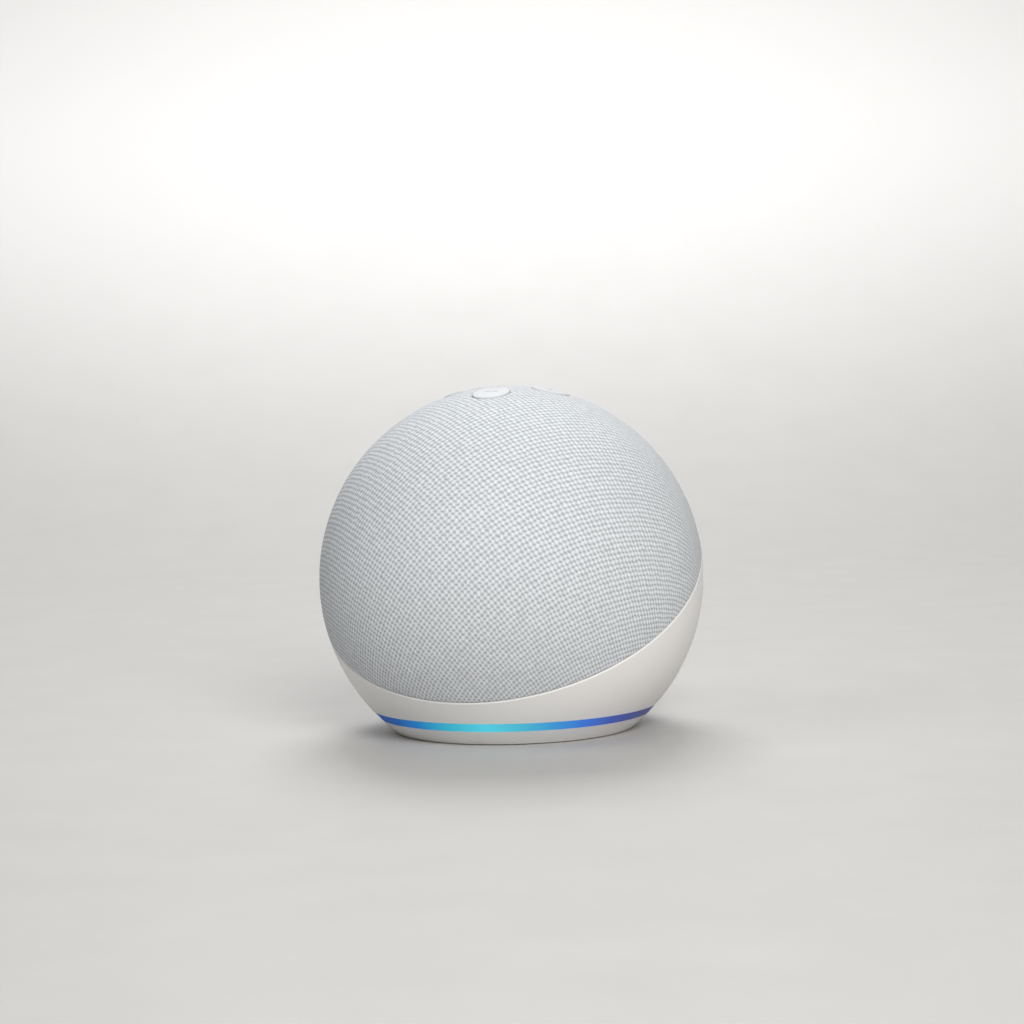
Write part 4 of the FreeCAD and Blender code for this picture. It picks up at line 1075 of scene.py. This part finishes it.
@dataclass(frozen=True)
class Studio:
    """Pale floor that sweeps up behind the speaker, soft lights and the camera.

    Sizes:
        azimuth, elevation, distance: where the camera stands, seen from the ball's centre.
        look_up, look_right, roll: how it is turned from there.
        sweep_start: where the floor begins to rise, behind the ball.
        sweep_radius, sweep_height, sweep_half: the bend's radius, the wall's top and half the floor's width.
    """

    ball: Ball
    azimuth: float = math.radians(18.73)
    elevation: float = math.radians(5.07)
    roll: float = math.radians(-1.61)
    distance: float = 0.7
    lens: float = 94.26
    sensor: float = 36.0
    look_up: float = math.radians(1.395)
    look_right: float = math.radians(0.053)
    sweep_start: float = 0.45
    sweep_radius: float = 0.5
    sweep_height: float = 2.5
    sweep_half: float = 12.0
    table: tuple[Colour, Colour] = ((0.50, 0.49, 0.475), (0.47, 0.46, 0.445))
    # wall: the backdrop's lower and upper colours; the upper one is darker, as painted shade
    wall: tuple[Colour, Colour] = ((0.86, 0.85, 0.835), (0.62, 0.615, 0.60))
    sky: float = 0.02
    sky_colour: Colour = (0.96, 0.98, 1.0)
    lamps: tuple[Lamp, ...] = (
        Lamp("key", 15.0, 30.0, 1.2, 0.6, 12.9, (1.0, 0.99, 0.975)),
        Lamp("fill", -70.0, 40.0, 1.2, 0.6, 2.4, (0.96, 0.98, 1.0)),
        Lamp("back", 180.0, 50.0, 1.2, 0.6, 8.8, (0.98, 0.99, 1.0)),
    )
    wall_lamp: Lamp = Lamp("wall", 0.0, 35.0, 0.9, 1.6, 4.0)
    wall_aim: float = 0.5

    def camera(self) -> None:
        """Long lens a little above the table, aimed above the ball and rolled slightly."""
        a, e = self.azimuth, self.elevation
        back = Vector((math.sin(a) * math.cos(e), -math.cos(a) * math.cos(e), math.sin(e)))
        right = Vector((math.cos(a), math.sin(a), 0.0))
        up = back.cross(right)
        ahead = up * math.tan(self.look_up) + right * math.tan(self.look_right) - back
        ahead.normalize()
        level_side = ahead.cross(up).normalized()
        level_top = level_side.cross(ahead)
        side = level_side * math.cos(self.roll) + level_top * math.sin(self.roll)
        top = level_top * math.cos(self.roll) - level_side * math.sin(self.roll)
        data = bpy.data.cameras.new("camera")
        data.lens, data.sensor_width = self.lens, self.sensor
        data.clip_start, data.clip_end = 0.01, 100.0
        camera = bpy.data.objects.new("camera", data)
        axes = Matrix((side, top, -ahead)).transposed().to_4x4()
        stand = Vector(self.ball.centre) + back * self.distance
        camera.matrix_world = Matrix.Translation(stand) @ axes
        bpy.context.scene.collection.objects.link(camera)
        bpy.context.scene.camera = camera

    def floor(self) -> None:
        """Floor and backdrop in one: flat, a quarter circle, then upright, square to the camera's line."""
        bend = np.linspace(0.0, math.pi / 2, 33)
        along = self.sweep_start + self.sweep_radius * np.sin(bend)
        height = self.sweep_radius * (1.0 - np.cos(bend))
        along = np.concatenate([[-self.sweep_half], along, along[-1:]])
        height = np.concatenate([[0.0], height, [self.sweep_height]])
        across = np.array([-self.sweep_half, self.sweep_half])
        side, away, up = across[None, :], along[:, None], height[:, None]
        c, s = math.cos(self.azimuth), math.sin(self.azimuth)
        parts = [side * c - away * s, side * s + away * c, up + 0.0 * side]
        points = np.stack(parts, axis=-1).reshape(-1, 3)
        floor = make_mesh("floor", points, grid_quads(len(along), 2, 0, closed=False))
        graph = Graph("floor")
        grain = graph.noise(40.0, 3.0)
        _, _, level = graph.split(graph.place())
        table = graph.mix(grain, *self.table)
        # The backdrop is painted darker towards its top: painted shade that evens out the wall lamp's
        # brighter light up there
        wall = graph.mix(level.smooth(0.1, 0.6), *self.wall)
        graph.set("Base Color", graph.mix(level.smooth(0.0, 0.25), table, wall))
        graph.set("Roughness", 0.5 + grain * 0.1)
        floor.data.materials.append(graph.material)

    def build(self) -> None:
        """Set up the floor, the sky, the lights, the camera and the display."""
        self.floor()
        world = bpy.data.worlds.new("sky")
        world.use_nodes = True
        background = world.node_tree.nodes["Background"]
        background.inputs["Color"].default_value = (*self.sky_colour, 1.0)
        background.inputs["Strength"].default_value = self.sky
        bpy.context.scene.world = world
        bpy.context.scene.view_settings.view_transform = "Standard"
        for lamp in self.lamps:
            lamp.hang(self.azimuth, Vector(self.ball.centre))
        away = self.sweep_start + self.sweep_radius
        across, along = -away * math.sin(self.azimuth), away * math.cos(self.azimuth)
        self.wall_lamp.hang(self.azimuth, Vector((across, along, self.wall_aim)))
        self.camera()


def main() -> None:
    """Build every class in order."""
    logging.basicConfig(level=logging.INFO)
    low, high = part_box("fabric_cover")
    radius = (high[0] - low[0]) / 2
    ball = Ball(radius, high[2] - radius)
    driver_low, driver_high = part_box("driver_basket")
    KnitCover(ball).build(Knit().material())
    for part in (Casing(), Lighting(), Loudspeaker((driver_low[2] + driver_high[2]) / 2), Electronics()):
        LOG.info("dressing the %s", type(part).__name__.lower())
        part.dress()
    Studio(ball).build()


if __name__ == "__main__":
    main()
